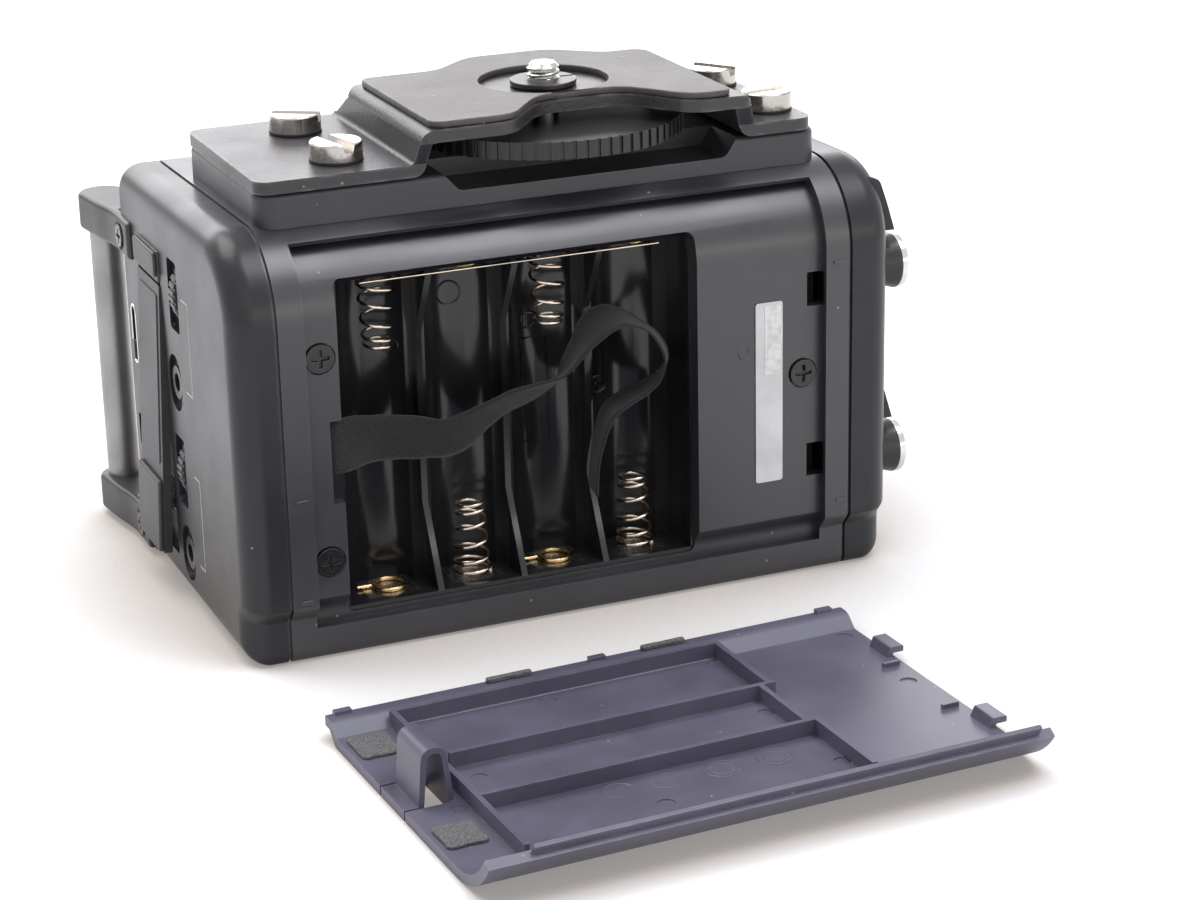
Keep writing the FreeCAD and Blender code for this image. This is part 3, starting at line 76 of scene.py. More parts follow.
addCamera(cameraSetup)
print("camera placed")


class Signal:
    # a socket that takes part in plain arithmetic
    def __init__(self, finish, socket):
        self.finish = finish
        self.socket = socket

    def sum(self, kind, *others):
        values = {i: v for i, v in enumerate((self,) + others)}
        return self.finish.node("ShaderNodeMath", {"operation": kind}, values)

    def __add__(self, other):
        return self.sum("ADD", other)

    def __sub__(self, other):
        return self.sum("SUBTRACT", other)

    def __rsub__(self, other):
        return self.finish.node("ShaderNodeMath", {"operation": "SUBTRACT"}, {0: other, 1: self})

    def __mul__(self, other):
        return self.sum("MULTIPLY", other)

    def __gt__(self, other):
        return self.sum("GREATER_THAN", other)

    def __lt__(self, other):
        return self.sum("LESS_THAN", other)

    def sine(self):
        return self.sum("SINE")

    def most(self, other):
        return self.sum("MAXIMUM", other)


class Finish:
    def __init__(self, name):
        self.material = bpy.data.materials.new(name)
        self.material.use_nodes = True
        self.tree = self.material.node_tree
        self.tree.nodes.clear()
        self.place = self.node("ShaderNodeTexCoord", take="Object")

    def node(self, kind, settings={}, values={}, take=0):
        made = self.tree.nodes.new(kind)
        for name, value in settings.items():
            setattr(made, name, value)
        for name, value in values.items():
            if isinstance(value, Signal):
                self.tree.links.new(value.socket, made.inputs[name])
            elif isinstance(value, tuple) and len(value) == 3 and made.inputs[name].type == "RGBA":
                made.inputs[name].default_value = (*value, 1)
            else:
                made.inputs[name].default_value = value
        return Signal(self, made.outputs[take]) if made.outputs else None

    def cloud(self, scale, detail=3.0, rough=0.55, where=None):
        return self.node("ShaderNodeTexNoise", {}, {"Vector": where or self.place, "Scale": scale,
                                                    "Detail": detail, "Roughness": rough})

    def band(self, signal, low, high, start=0.0, end=1.0):
        return self.node("ShaderNodeMapRange", {"interpolation_type": "SMOOTHSTEP"},
                         {"Value": signal, "From Min": low, "From Max": high, "To Min": start, "To Max": end})

    def blend(self, share, first, second):
        return self.node("ShaderNodeMix", {"data_type": "RGBA"}, {0: share, 6: first, 7: second}, take=2)

    def raised(self, height, depth, strength):
        return self.node("ShaderNodeBump", {}, {"Height": height, "Distance": depth, "Strength": strength})

    def close(self, **shader):
        values = {name.replace("_", " "): value for name, value in shader.items()}
        surface = self.node("ShaderNodeBsdfPrincipled", {}, values)
        self.node("ShaderNodeOutputMaterial", {}, {"Surface": surface})
        return self.material


def edgeWear(f, reach):
    # 1 along sharp and rounded edges, 0 on flats
    soft = f.node("ShaderNodeBevel", {"samples": 4}, {"Radius": reach})
    flat = f.node("ShaderNodeNewGeometry", take="Normal")
    likeness = f.node("ShaderNodeVectorMath", {"operation": "DOT_PRODUCT"}, {0: soft, 1: flat}, take="Value")
    return f.band(1.0 - likeness, 0.01, 0.10)


def specks(f, scale, share, size):
    # sparse round flecks of dust
    cells = f.node("ShaderNodeTexVoronoi", {}, {"Vector": f.place, "Scale": scale}, take="Distance")
    pick = f.node("ShaderNodeTexVoronoi", {}, {"Vector": f.place, "Scale": scale}, take="Color")
    chance = f.node("ShaderNodeSeparateColor", {}, {"Color": pick})
    return (cells < size) * (chance < share)


def mouldedPlastic(name, look):
    # grained plastic: fine spark texture, faint handling marks, dust and paler edges, the pale edges both wear and
    # painted highlights
    f = Finish(name)
    colour = look["colour"]
    grain = f.cloud(look.get("grain", 3200), 2.0, 0.6)
    smear = f.cloud(38, 4.0, 0.62)
    wearAndHighlight = edgeWear(f, look.get("wornAndHighlitReach", 0.5) * mm) if look.get("wearAndHighlight") else None
    base = f.blend(f.band(smear, 0.3, 0.7), tuple(c * 0.86 for c in colour), tuple(c * 1.16 for c in colour))
    rough = f.band(smear, 0.25, 0.75, look["rough"] - 0.05, look["rough"] + 0.06)
    if wearAndHighlight:
        # painted highlight and wear: the colour along edges is made paler, standing for real wear and for the bright
        # edge highlights
        wornAndHighlit = wearAndHighlight * f.band(f.cloud(260, 3), 0.35, 0.7) * min(1, look["wearAndHighlight"])
        palerForWearAndHighlight = 1.6 + 0.8 * look["wearAndHighlight"]
        base = f.blend(wornAndHighlit, base, tuple(min(1, c * palerForWearAndHighlight + 0.02) for c in colour))
        rough = rough - wornAndHighlit * 0.08
    if look.get("dust"):
        dust = specks(f, 420, look["dust"], 0.11) * 0.5
        base = f.blend(dust, base, (0.42, 0.40, 0.38))
        rough = rough + dust * 0.3
    bump = f.raised(grain, look.get("depth", 0.012) * mm, look.get("strength", 0.5))
    finishes[name] = f.close(Base_Color=base, Roughness=rough, Normal=bump,
                             Specular_IOR_Level=look.get("gloss", 0.5))


def metal(name, look):
    # bare or plated metal with fine tool marks and small stains
    f = Finish(name)
    colour = look["colour"]
    stretch = f.node("ShaderNodeMapping", {}, {"Vector": f.place, "Scale": look.get("stretch", (1, 1, 1))})
    marks = f.cloud(look.get("marks", 2200), 3.0, 0.6, stretch)
    stain = f.cloud(90, 4.0)
    base = f.blend(f.band(stain, 0.35, 0.75), colour, tuple(c * look.get("stained", 0.8) for c in colour))
    rough = f.band(marks, 0.3, 0.7, look["rough"] - 0.05, look["rough"] + 0.09)
    bump = f.raised(marks, look.get("depth", 0.006) * mm, 0.6)
    finishes[name] = f.close(Base_Color=base, Roughness=rough, Metallic=look.get("metallic", 1.0), Normal=bump)


plasticLooks = {
    "black_plastic": {"colour": (0.025, 0.025, 0.031), "rough": 0.35, "wearAndHighlight": 0.8, "dust": 0.05,
                      "gloss": 0.75},
    "side_plastic": {"colour": (0.022, 0.021, 0.025), "rough": 0.33, "wearAndHighlight": 0.8, "dust": 0.04,
                     "gloss": 0.32},
    "block_plastic": {"colour": (0.030, 0.030, 0.037), "rough": 0.36, "wearAndHighlight": 1.0, "dust": 0.06},
    "bracket_plastic": {"colour": (0.021, 0.020, 0.022), "rough": 0.40, "wearAndHighlight": 0.9},
    "cover_plastic": {"colour": (0.098, 0.095, 0.134), "rough": 0.40, "wearAndHighlight": 0.6, "dust": 0.05},
    "panel_plastic": {"colour": (0.034, 0.034, 0.038), "rough": 0.40, "wearAndHighlight": 0.4, "dust": 0.04},
    "tray_plastic": {"colour": (0.016, 0.016, 0.018), "rough": 0.17, "grain": 900, "depth": 0.02,
                     "strength": 0.25},
    # painted highlight: the plate's high edge-paling amount and reach make its edges pale to stand for their bright
    # highlights, as well as wear
    "plate_metal": {"colour": (0.028, 0.026, 0.029), "rough": 0.36, "grain": 1300, "depth": 0.10,
                    "strength": 0.9, "wearAndHighlight": 4.0, "wornAndHighlitReach": 0.9, "dust": 0.07},
    # painted shade: the screws' colour is made very dark, partly their own black and partly the shade of the recesses
    # their heads sit in
    "black_screws": {"colour": (0.010, 0.010, 0.011), "rough": 0.22, "wearAndHighlight": 1.6},
    "washer_black": {"colour": (0.012, 0.012, 0.012), "rough": 0.5},
    # painted shade: the wheel's rubber is given a darker colour to stand for the shade it sits in under the platform
    "wheel_rubber": {"colour": (0.009, 0.009, 0.010), "rough": 0.34, "wearAndHighlight": 1.2},
    "pad_rubber": {"colour": (0.052, 0.046, 0.045), "rough": 0.46, "grain": 1500, "depth": 0.14,
                   "strength": 0.9, "wearAndHighlight": 1.4, "wornAndHighlitReach": 0.8, "dust": 0.12},
    "flap_rubber": {"colour": (0.030, 0.030, 0.033), "rough": 0.46, "wearAndHighlight": 0.6, "dust": 0.08},
    "jack_plastic": {"colour": (0.014, 0.014, 0.015), "rough": 0.33, "wearAndHighlight": 0.6},
    "dial_plastic": {"colour": (0.018, 0.018, 0.019), "rough": 0.36, "wearAndHighlight": 0.6},
    "key_plastic": {"colour": (0.060, 0.060, 0.064), "rough": 0.42, "wearAndHighlight": 0.5},
    "circuit_board": {"colour": (0.012, 0.065, 0.030), "rough": 0.35, "grain": 600},
    "display_screen": {"colour": (0.20, 0.23, 0.19), "rough": 0.4, "grain": 5000, "depth": 0.002},
}
for slotName, look in plasticLooks.items():
    mouldedPlastic(slotName, look)

metalLooks = {
    "screw_steel": {"colour": (0.50, 0.475, 0.44), "rough": 0.19, "marks": 1500, "stained": 0.9},
    "camera_steel": {"colour": (0.56, 0.55, 0.53), "rough": 0.15, "marks": 1800, "stained": 0.92},
    "rim_metal": {"colour": (0.70, 0.69, 0.67), "rough": 0.16},
    "bush_metal": {"colour": (0.50, 0.42, 0.24), "rough": 0.3},
    "insert_brass": {"colour": (0.55, 0.42, 0.20), "rough": 0.32},
    "contact_nickel": {"colour": (0.50, 0.49, 0.46), "rough": 0.26},
    "spring_steel": {"colour": (0.72, 0.62, 0.52), "rough": 0.17, "stained": 0.6},
    "contact_gold": {"colour": (0.66, 0.47, 0.24), "rough": 0.2, "stained": 0.7},
    "label_silver": {"colour": (0.50, 0.50, 0.51), "rough": 0.38, "stretch": (1, 1, 0.04), "marks": 6000},
    "bar_metal": {"colour": (0.33, 0.327, 0.320), "rough": 0.40, "stretch": (1, 1, 0.05), "marks": 5000,
                  "metallic": 0.85},
    "socket_metal": {"colour": (0.52, 0.52, 0.51), "rough": 0.28},
    "pot_metal": {"colour": (0.46, 0.46, 0.45), "rough": 0.34},
}
for slotName, look in metalLooks.items():
    metal(slotName, look)


def smokedGlass():
    f = Finish("display_glass")
    smear = f.cloud(60, 4)
    finishes["display_glass"] = f.close(Base_Color=(0.015, 0.017, 0.018), Alpha=0.55, Coat_Weight=0.3,
                                        Roughness=f.band(smear, 0.3, 0.7, 0.04, 0.10))


smokedGlass()


def wovenCloth():
    # twill ribbon: u runs across it, v along it, both in metres
    f = Finish("ribbon_cloth")
    uv = f.node("ShaderNodeUVMap", {"uv_map": "weave"})
    u = f.node("ShaderNodeSeparateXYZ", {}, {"Vector": uv})
    v = Signal(f, u.socket.node.outputs["Y"])
    ribs = (v * 11000 + u * 3000).sine() * 0.5 + 0.5
    threads = ((u * 9000).sine() * 0.5 + 0.5) * ((v * 9000).sine() * 0.5 + 0.5)
    fuzz = f.cloud(2400, 4, 0.7)
    height = ribs * 0.6 + threads * 0.5 + fuzz * 0.8
    base = f.blend(f.band(fuzz, 0.3, 0.75), (0.005, 0.005, 0.006), (0.022, 0.023, 0.026))
    finishes["ribbon_cloth"] = f.close(Base_Color=base, Roughness=0.92, Sheen_Weight=0.12, Sheen_Roughness=0.5,
                                       Normal=f.raised(height, 0.09 * mm, 0.8))


wovenCloth()


def foam():
    f = Finish("pad_felt")
    pores = f.node("ShaderNodeTexVoronoi", {}, {"Vector": f.place, "Scale": 2600}, take="Distance")
    fuzz = f.cloud(1500, 4, 0.7)
    base = f.blend(f.band(pores + fuzz * 0.5, 0.3, 1.0), (0.05, 0.05, 0.052), (0.15, 0.15, 0.155))
    finishes["pad_felt"] = f.close(Base_Color=base, Roughness=0.95,
                                   Normal=f.raised(pores + fuzz, 0.12 * mm, 0.9))


foam()


def printInk(name, colour):
    # screen-printed ink, a little uneven and rubbed
    f = Finish(name)
    patches = f.cloud(700, 3)
    base = f.blend(f.band(patches, 0.35, 0.7), colour, tuple(c * 0.78 for c in colour))
    finishes[name] = f.close(Base_Color=base, Roughness=f.band(patches, 0.3, 0.7, 0.42, 0.55),
                             Normal=f.raised(patches, 0.004 * mm, 0.4))


printInk("whiteInk", (0.62, 0.61, 0.60))
printInk("redInk", (0.46, 0.03, 0.02))
printInk("paperWhite", (0.80, 0.80, 0.79))
print("finishes made:", len(finishes))


def takeUp(piece):
    # everything else is put down, so that an operator acts on this piece alone
    for o in bpy.context.selected_objects:
        o.select_set(False)
    piece.select_set(True)
    bpy.context.view_layer.objects.active = piece


def finishWith(piece, slotName, body, *stoodFor):
    piece.data.materials.clear()
    piece.data.materials.append(finishes[slotName])
    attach(piece, body)
    if stoodFor:
        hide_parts(*stoodFor)


def smoothed(piece):
    takeUp(piece)
    bpy.ops.object.shade_smooth_by_angle(angle=math.radians(34))
    piece.modifiers.new("flatFaces", "WEIGHTED_NORMAL").keep_sharp = True
    bpy.ops.object.modifier_apply(modifier="flatFaces")


def rounded(piece, width, segments=2):
    # merged flats, rounded sharp edges, smooth shading
    takeUp(piece)
    bpy.ops.object.mode_set(mode="EDIT")
    bpy.ops.mesh.select_all(action="SELECT")
    bpy.ops.mesh.remove_doubles(threshold=2e-6)
    bpy.ops.mesh.dissolve_limited(angle_limit=math.radians(0.6))
    bpy.ops.object.mode_set(mode="OBJECT")
    bevel = piece.modifiers.new("softEdges", "BEVEL")
    bevel.width = width
    bevel.segments = segments
    bevel.limit_method = "ANGLE"
    bevel.angle_limit = math.radians(32)
    bpy.ops.object.modifier_apply(modifier="softEdges")
    smoothed(piece)


bodyOf = {n: body for body, members in frame["record"]["behaviour"]["bodies"].items() for n in members}
slotOf = {s["node"]: s["material_slot"] for s in frame["record"]["subparts"]}


def dressed(node, width):
    # the CAD node's own shape with its edges broken as the moulding or the machining leaves them
    piece = bpy.data.objects.new(node + "_skin", nodes[node].data.copy())
    scene.collection.objects.link(piece)
    if piece.data.has_custom_normals:
        takeUp(piece)
        bpy.ops.mesh.customdata_custom_splitnormals_clear()
    rounded(piece, width)
    finishWith(piece, slotOf[node], bodyOf[node], node)


# how wide each node's edges are broken, in mm
edgeWidths = {
    "middle_shell": 0.22, "left_end_cap": 0.22, "right_end_cap": 0.22, "battery_tray": 0.2,
    "battery_cover": 0.18, "attachment_block": 0.3, "mount_plate": 0.35, "platform_pad": 0.35,
    "thumbwheel": 0.12, "retaining_disc": 0.1, "coin_screws": 0.12,
    "coin_screw_washers": 0.08, "rear_screws": 0.14, "handle_screws": 0.12,
    "left_handle_bar": 0.1, "right_handle_bar": 0.1,
    "side_flap": 0.45, "flap_anchor": 0.45, "phones_wheel": 0.1, "line_out_wheel": 0.1, "hold_switch": 0.15,
    "stereo_jacks": 0.12, "upper_gain_dial": 0.1, "lower_gain_dial": 0.1, "upper_dial_rim": 0.15,
    "lower_dial_rim": 0.15, "input_sockets": 0.25, "control_panel": 0.25, "display_window": 0.1,
    "left_level_knob": 0.12, "right_level_knob": 0.12, "menu_wheel": 0.2, "stop_key": 0.3, "play_key": 0.3,
    "record_key": 0.3, "power_switch": 0.2, "contact_plates": 0.05, "label_plate": 0.06, "tripod_bush": 0.2,
}
for node, width in edgeWidths.items():
    dressed(node, width * mm)


# new pieces, each from its own facts in mm
def arcCorners(points, radii, steps=10):
    # a flat outline whose corners are drawn as fine arcs
    fine = []
    for i, corner in enumerate(points):
        here = Vector(corner)
        if radii[i] <= 0:
            fine.append(here)
            continue
        back = (Vector(points[i - 1]) - here).normalized()
        ahead = (Vector(points[(i + 1) % len(points)]) - here).normalized()
        half = back.angle(ahead) / 2
        centre = here + (back + ahead).normalized() * (radii[i] / math.sin(half))
        start = here + back * (radii[i] / math.tan(half)) - centre
        end = here + ahead * (radii[i] / math.tan(half)) - centre
        for k in range(steps + 1):
            fine.append(centre + start.lerp(end, k / steps).normalized() * radii[i])
    return fine


# how a flat drawing is stood up: across, up and outwards
facings = {
    "up": ((1, 0, 0), (0, 1, 0), (0, 0, 1)), "right": ((0, 1, 0), (0, 0, 1), (1, 0, 0)),
    "left": ((0, -1, 0), (0, 0, 1), (-1, 0, 0)), "battery": ((1, 0, 0), (0, 0, 1), (0, -1, 0)),
    "control": ((-1, 0, 0), (0, 0, 1), (0, 1, 0)),
}


def standUp(piece, facing, origin=(0, 0, 0)):
    across, up, out = facings[facing]
    turn = Matrix((across, up, out)).transposed().to_4x4()
    scaled = Matrix.Diagonal((mm, mm, mm, 1))
    piece.data.transform(Matrix.Translation(Vector(origin) * mm) @ turn @ scaled)


def tidyMesh(piece):
    takeUp(piece)
    bpy.ops.object.mode_set(mode="EDIT")
    bpy.ops.mesh.select_all(action="SELECT")
    bpy.ops.mesh.remove_doubles(threshold=1e-6)
    bpy.ops.mesh.normals_make_consistent(inside=False)
    bpy.ops.object.mode_set(mode="OBJECT")
    smoothed(piece)


def drawn(name, lines, closed):
    # a curve object with one straight-run line for each list of points
    data = bpy.data.curves.new(name, "CURVE")
    data.dimensions = "3D"
    for line in lines:
        spline = data.splines.new("POLY")
        spline.points.add(len(line) - 1)
        for point, place in zip(spline.points, line):
            point.co = (*place, *[0.0] * (3 - len(place)), 1)
        spline.use_cyclic_u = closed
    piece = bpy.data.objects.new(name, data)
    scene.collection.objects.link(piece)
    return piece


def madeMesh(piece, change, facing, origin):
    # a curve turned to mesh, changed, stood up on its face and cleaned
    takeUp(piece)
    bpy.ops.object.convert(target="MESH")
    piece.data.transform(change)
    standUp(piece, facing, origin)
    tidyMesh(piece)
    return piece


def prism(name, outline, thick, edge, facing, origin):
    # an outline given thickness outwards from its origin, its rims rounded by edge
    piece = drawn(name, [outline], True)
    data = piece.data
    data.dimensions = "2D"
    data.fill_mode = "BOTH"
    data.extrude = thick / 2 - edge
    data.bevel_depth = edge
    data.bevel_resolution = 3
    data.offset = -edge
    return madeMesh(piece, Matrix.Translation((0, 0, thick / 2)), facing, origin)


def bead(name, lines, radius, facing, origin, closed=False, flat=1.0):
    # fine raised or printed lines
    piece = drawn(name, lines, closed)
    piece.data.bevel_depth = radius
    piece.data.bevel_resolution = 2
    piece.data.use_fill_caps = True
    return madeMesh(piece, Matrix.Diagonal((1, 1, flat, 1)), facing, origin)


def joined(made, name):
    takeUp(made[0])
    for piece in made[1:]:
        piece.select_set(True)
    bpy.ops.object.join()
    made[0].name = name
    return made[0]


def lettered(name, marks, size, facing, origin):
    # plain numbers, each at its own place on the face, joined into one piece
    made = []
    for body, (u, v) in marks:
        bpy.ops.object.select_all(action="DESELECT")
        bpy.ops.object.text_add(location=(0, 0, 0))
        text = bpy.context.active_object
        text.data.body = body
        text.data.size = size
        text.data.extrude = 0.03
        text.data.align_x = "CENTER"
        text.data.align_y = "CENTER"
        bpy.ops.object.convert(target="MESH")
        text.data.transform(Matrix.Translation((u, v, 0.02)))
        made.append(text)
    piece = joined(made, name)
    standUp(piece, facing, origin)
    tidyMesh(piece)
    return piece


def corners(left, right, low, high):
    return [(left, low), (right, low), (right, high), (left, high)]


def ringLine(u, v, radius, count=36):
    return [(u + radius * math.cos(2 * math.pi * k / count), v + radius * math.sin(2 * math.pi * k / count))
            for k in range(count)]


def dressAs(piece, slotName, body, ink=None):
    finishWith(piece, slotName, body)
    if ink:
        piece.data.materials[0] = finishes[ink]


def carved(piece, cutter):
    takeUp(piece)
    cut = piece.modifiers.new("carve", "BOOLEAN")
    cut.object = cutter
    cut.operation = "DIFFERENCE"
    cut.solver = "EXACT"
    bpy.ops.object.modifier_apply(modifier="carve")
    bpy.data.objects.remove(cutter)
    smoothed(piece)


# handle brackets: a foot let into the end cap, an S-shaped arm and a round end over the bar
bracket = {"ends": {"left": (-1, 66.0), "right": (1, 67.1)}, "lows": {"top": 62.4, "bottom": 1.3}, "height": 7.6,
           "front": 40.0, "barY": 56.0, "inset": 1.4, "round": 5.0, "footRear": 28.2, "seat": 1.2, "edge": 1.0,
           "screwY": 34.0}


def makeBracket(sideName, levelName):
    side, h = bracket["ends"][sideName]
    low, front, barY, big = bracket["lows"][levelName], bracket["front"], bracket["barY"], bracket["round"]
    bar = h - bracket["inset"]
    points = [(h + 1.0, bracket["footRear"]), (h + 1.0, front), (h + 2.4, front + 7.0), (h + 3.6, barY),
              (h + 3.6, barY + big), (bar - big, barY + big), (bar - big, barY - 6.0), (h - 6.0, front),
              (h - bracket["seat"], front), (h - bracket["seat"], bracket["footRear"])]
    radii = [0.9, 36.0, 46.0, 2.0, 4.8, 4.8, 40.0, 1.2, 0, 0.9]
    if side < 0:
        points = [(-x, y) for x, y in reversed(points)]
        radii = list(reversed(radii))
    piece = prism(f"{sideName}_{levelName}_bracket_form", arcCorners(points, radii, 14), bracket["height"],
                  bracket["edge"], "up", (0, 0, low))
    bpy.ops.object.select_all(action="DESELECT")
    face = side * (h + 0.9)
    bpy.ops.mesh.primitive_cone_add(vertices=48, radius1=2.5 * mm, radius2=3.4 * mm, depth=1.4 * mm,
                                    location=(face * mm, bracket["screwY"] * mm, (low + 3.8) * mm),
                                    rotation=(0, side * math.pi / 2, 0))
    carved(piece, bpy.context.active_object)
    node = f"{sideName}_{levelName}_bracket"
    finishWith(piece, slotOf[node], bodyOf[node], node)


for sideName in bracket["ends"]:
    for levelName in bracket["lows"]:
        makeBracket(sideName, levelName)


# camera screw: a plain neck and two turns of quarter-inch thread under a flat, chamfered tip
stud = {"x": 7.6, "y": -8.0, "foot": 87.9, "neck": 98.6, "top": 101.6, "neckRadius": 2.9, "crest": 3.175,
        "root": 2.55, "pitch": 1.27, "chamfer": 0.8, "around": 96, "layers": 40}


def makeStud():
    bpy.ops.object.select_all(action="DESELECT")
    bpy.ops.mesh.primitive_circle_add(vertices=stud["around"], radius=stud["neckRadius"], fill_type="NGON")
    piece = bpy.context.active_object
    piece.name = "camera_stud"
    bpy.ops.object.mode_set(mode="EDIT")
    bpy.ops.mesh.select_all(action="SELECT")
    threadRun = stud["top"] - stud["neck"]
    for rise in [stud["neck"] - stud["foot"]] + [threadRun / stud["layers"]] * stud["layers"]:
        bpy.ops.mesh.extrude_region_move(TRANSFORM_OT_translate={"value": (0, 0, rise)})
    bpy.ops.object.mode_set(mode="OBJECT")
    for v in piece.data.vertices:
        rise = v.co.z + stud["foot"] - stud["neck"]
        if rise < 0.02:
            continue
        turn = rise / stud["pitch"] - math.atan2(v.co.y, v.co.x) / (2 * math.pi)
        flank = min(1.0, abs((turn % 1.0) - 0.5) * 2.6)
        radius = stud["root"] + (stud["crest"] - stud["root"]) * flank
        fromTip = threadRun - rise
        radius = min(radius, stud["crest"] - stud["chamfer"] + fromTip)
        v.co.x, v.co.y = Vector((v.co.x, v.co.y)).normalized() * radius
    standUp(piece, "up", (stud["x"], stud["y"], stud["foot"]))
    tidyMesh(piece)
    finishWith(piece, "camera_steel", bodyOf["camera_screw"], "camera_screw")


makeStud()


# pull ribbon: near and far edge of the cloth at stations along its run, in mm
ribbon = {"width": 10.4, "thick": 0.45, "across": 8, "between": 5, "run": [
    ((-47.5, -36.3, 46.1), (-47.5, -36.4, 35.7)), ((-45.3, -36.2, 46.2), (-45.5, -36.6, 35.8)),
    ((-38.0, -36.2, 45.8), (-37.6, -33.5, 35.8)), ((-30.5, -36.2, 44.4), (-29.5, -32.3, 34.8)),
    ((-24.8, -36.2, 43.0), (-23.4, -31.4, 33.8)), ((-20.8, -36.2, 43.8), (-19.3, -31.4, 34.7)),
    ((-16.1, -36.4, 45.3), (-13.6, -29.5, 38.0)), ((-11.7, -36.6, 46.6), (-8.9, -28.9, 40.3)),
    ((-6.3, -36.8, 47.3), (-3.7, -28.5, 41.6)), ((-1.9, -37.2, 48.0), (0.5, -27.9, 44.3)),
    ((0.6, -37.8, 49.8), (2.0, -27.9, 47.8)), ((3.2, -38.0, 52.3), (3.9, -27.8, 51.8)),
    ((5.9, -38.0, 54.5), (6.8, -27.9, 56.7)), ((8.4, -38.0, 55.9), (10.1, -28.0, 58.1)),
    ((11.3, -38.0, 56.4), (13.8, -27.9, 57.0)), ((14.2, -38.0, 55.7), (17.8, -28.3, 54.3)),
    ((16.4, -38.0, 54.0), (21.0, -28.9, 51.8)), ((18.0, -38.0, 51.6), (23.0, -29.4, 48.7)),
    ((19.0, -38.0, 49.1), (23.6, -29.1, 46.0)), ((19.1, -37.6, 46.5), (22.8, -28.2, 44.1)),
    ((17.9, -37.3, 44.0), (21.0, -27.7, 42.6)), ((15.5, -37.2, 42.0), (18.0, -27.3, 41.0)),
    ((12.4, -37.2, 40.5), (14.5, -27.1, 39.7)), ((9.4, -37.2, 38.8), (11.3, -27.1, 38.1)),
    ((7.4, -37.3, 36.3), (9.6, -27.4, 35.8)), ((6.1, -37.6, 33.2), (8.5, -27.6, 32.5)),
    ((5.3, -37.8, 30.2), (7.8, -27.8, 29.2)), ((4.8, -38.0, 27.0), (7.3, -28.0, 25.8)),
    ((4.5, -38.2, 23.5), (7.0, -28.4, 22.0))]}


def passing(run, at):
    # a point on the smooth line through the stations
    i = min(int(at), len(run) - 2)
    t = at - i
    a, b, c, d = (Vector(run[min(max(k, 0), len(run) - 1)]) for k in (i - 1, i, i + 1, i + 2))
    return 0.5 * (2 * b + (c - a) * t + (2 * a - 5 * b + 4 * c - d) * t ** 2 + (3 * b - a - 3 * c + d) * t ** 3)


def makeRibbon():
    run = ribbon["run"]
    edges = [[pair[k] for pair in run] for k in (0, 1)]
    rows = (len(run) - 1) * ribbon["between"]
    middles = [(passing(edges[0], r / ribbon["between"]) + passing(edges[1], r / ribbon["between"])) / 2
               for r in range(rows + 1)]
    lengths = [0.0]
    for a, b in zip(middles, middles[1:]):
        lengths.append(lengths[-1] + (b - a).length)
    bpy.ops.object.select_all(action="DESELECT")
    bpy.ops.mesh.primitive_grid_add(x_subdivisions=ribbon["across"], y_subdivisions=rows, size=1)
    piece = bpy.context.active_object
    piece.name = "pull_ribbon"
    weave = piece.data.uv_layers[0]
    weave.name = "weave"
    places = []
    for v in piece.data.vertices:
        u, row = v.co.x + 0.5, round((v.co.y + 0.5) * rows)
        near, far = (passing(edge, row / ribbon["between"]) for edge in edges)
        side = (far - near).normalized()
        middle = (near + far) / 2
        place = middle + side * ribbon["width"] * (u - 0.5)
        places.append((u, row, place + Vector((0, 0.25, 0.2)) * noise.noise(place * 0.22)))
    for loop in piece.data.loops:
        u, row, place = places[loop.vertex_index]
        weave.data[loop.index].uv = (u * ribbon["width"] * mm, lengths[row] * mm)
    for v, (u, row, place) in zip(piece.data.vertices, places):
        v.co = place * mm
    takeUp(piece)
    cloth = piece.modifiers.new("cloth", "SOLIDIFY")
    cloth.thickness = ribbon["thick"] * mm
    cloth.offset = 0
    bpy.ops.object.modifier_apply(modifier="cloth")
    bpy.ops.object.shade_smooth()
    finishWith(piece, "ribbon_cloth", bodyOf["battery_ribbon"], "battery_ribbon")
    print("ribbon length in mm:", round(lengths[-1], 1))


makeRibbon()


# felts on the inside of the lying cover: left, right, front and back on the cover, then height and thickness
lying = {"turn": 2.45, "x": -9.75, "y": -68.3}
felts = {"plates": [(-51.0, -43.5, -15.9, -6.8, 1.9, 0.6), (-51.0, -43.5, -53.5, -45.3, 1.9, 0.6),
                    (-21.6, -12.4, -1.4, 0.0, 4.3, 0.9), (9.3, 18.5, -1.4, 0.0, 4.3, 0.9)], "fray": 0.12}


def layDown(piece):
    piece.data.transform(Matrix.Translation((lying["x"] * mm, lying["y"] * mm, 0))
                         @ Matrix.Rotation(math.radians(lying["turn"]), 4, "Z"))


def makeFelts():
    made = []
    for left, right, front, back, height, thick in felts["plates"]:
        corner = min(1.0, (back - front) / 2.4)
        outline = arcCorners(corners(left, right, front, back), [corner] * 4, 6)
        piece = prism("felt", outline, thick, thick * 0.3, "up", (0, 0, height))
        takeUp(piece)
        bpy.ops.object.mode_set(mode="EDIT")
        bpy.ops.mesh.select_all(action="SELECT")
        bpy.ops.mesh.quads_convert_to_tris()
        bpy.ops.mesh.subdivide(number_cuts=3)
        bpy.ops.object.mode_set(mode="OBJECT")
        middle = Vector(((left + right) / 2, (front + back) / 2, 0)) * mm
        for v in piece.data.vertices:
            shake = noise.noise_vector(v.co * 900) * felts["fray"] * mm
            inward = (middle - v.co).to_2d().normalized() * felts["fray"] * mm
            lifted = v.co.z > (height + thick / 2) * mm
            v.co += Vector((shake.x + inward.x, shake.y + inward.y, -abs(shake.z) * 0.6 if lifted else 0))
        made.append(piece)
    piece = joined(made, "cover_felts")
    layDown(piece)
    finishWith(piece, "pad_felt", bodyOf["cover_pads"], "cover_pads")


makeFelts()
print("soft pieces made")


# rubber door and its anchor: a thicker grip at the foot and a stepped crown at the top
flap = {"rear": 8.0, "front": 24.0, "skin": -66.3, "hinge": 62.6, "open": 2.8}


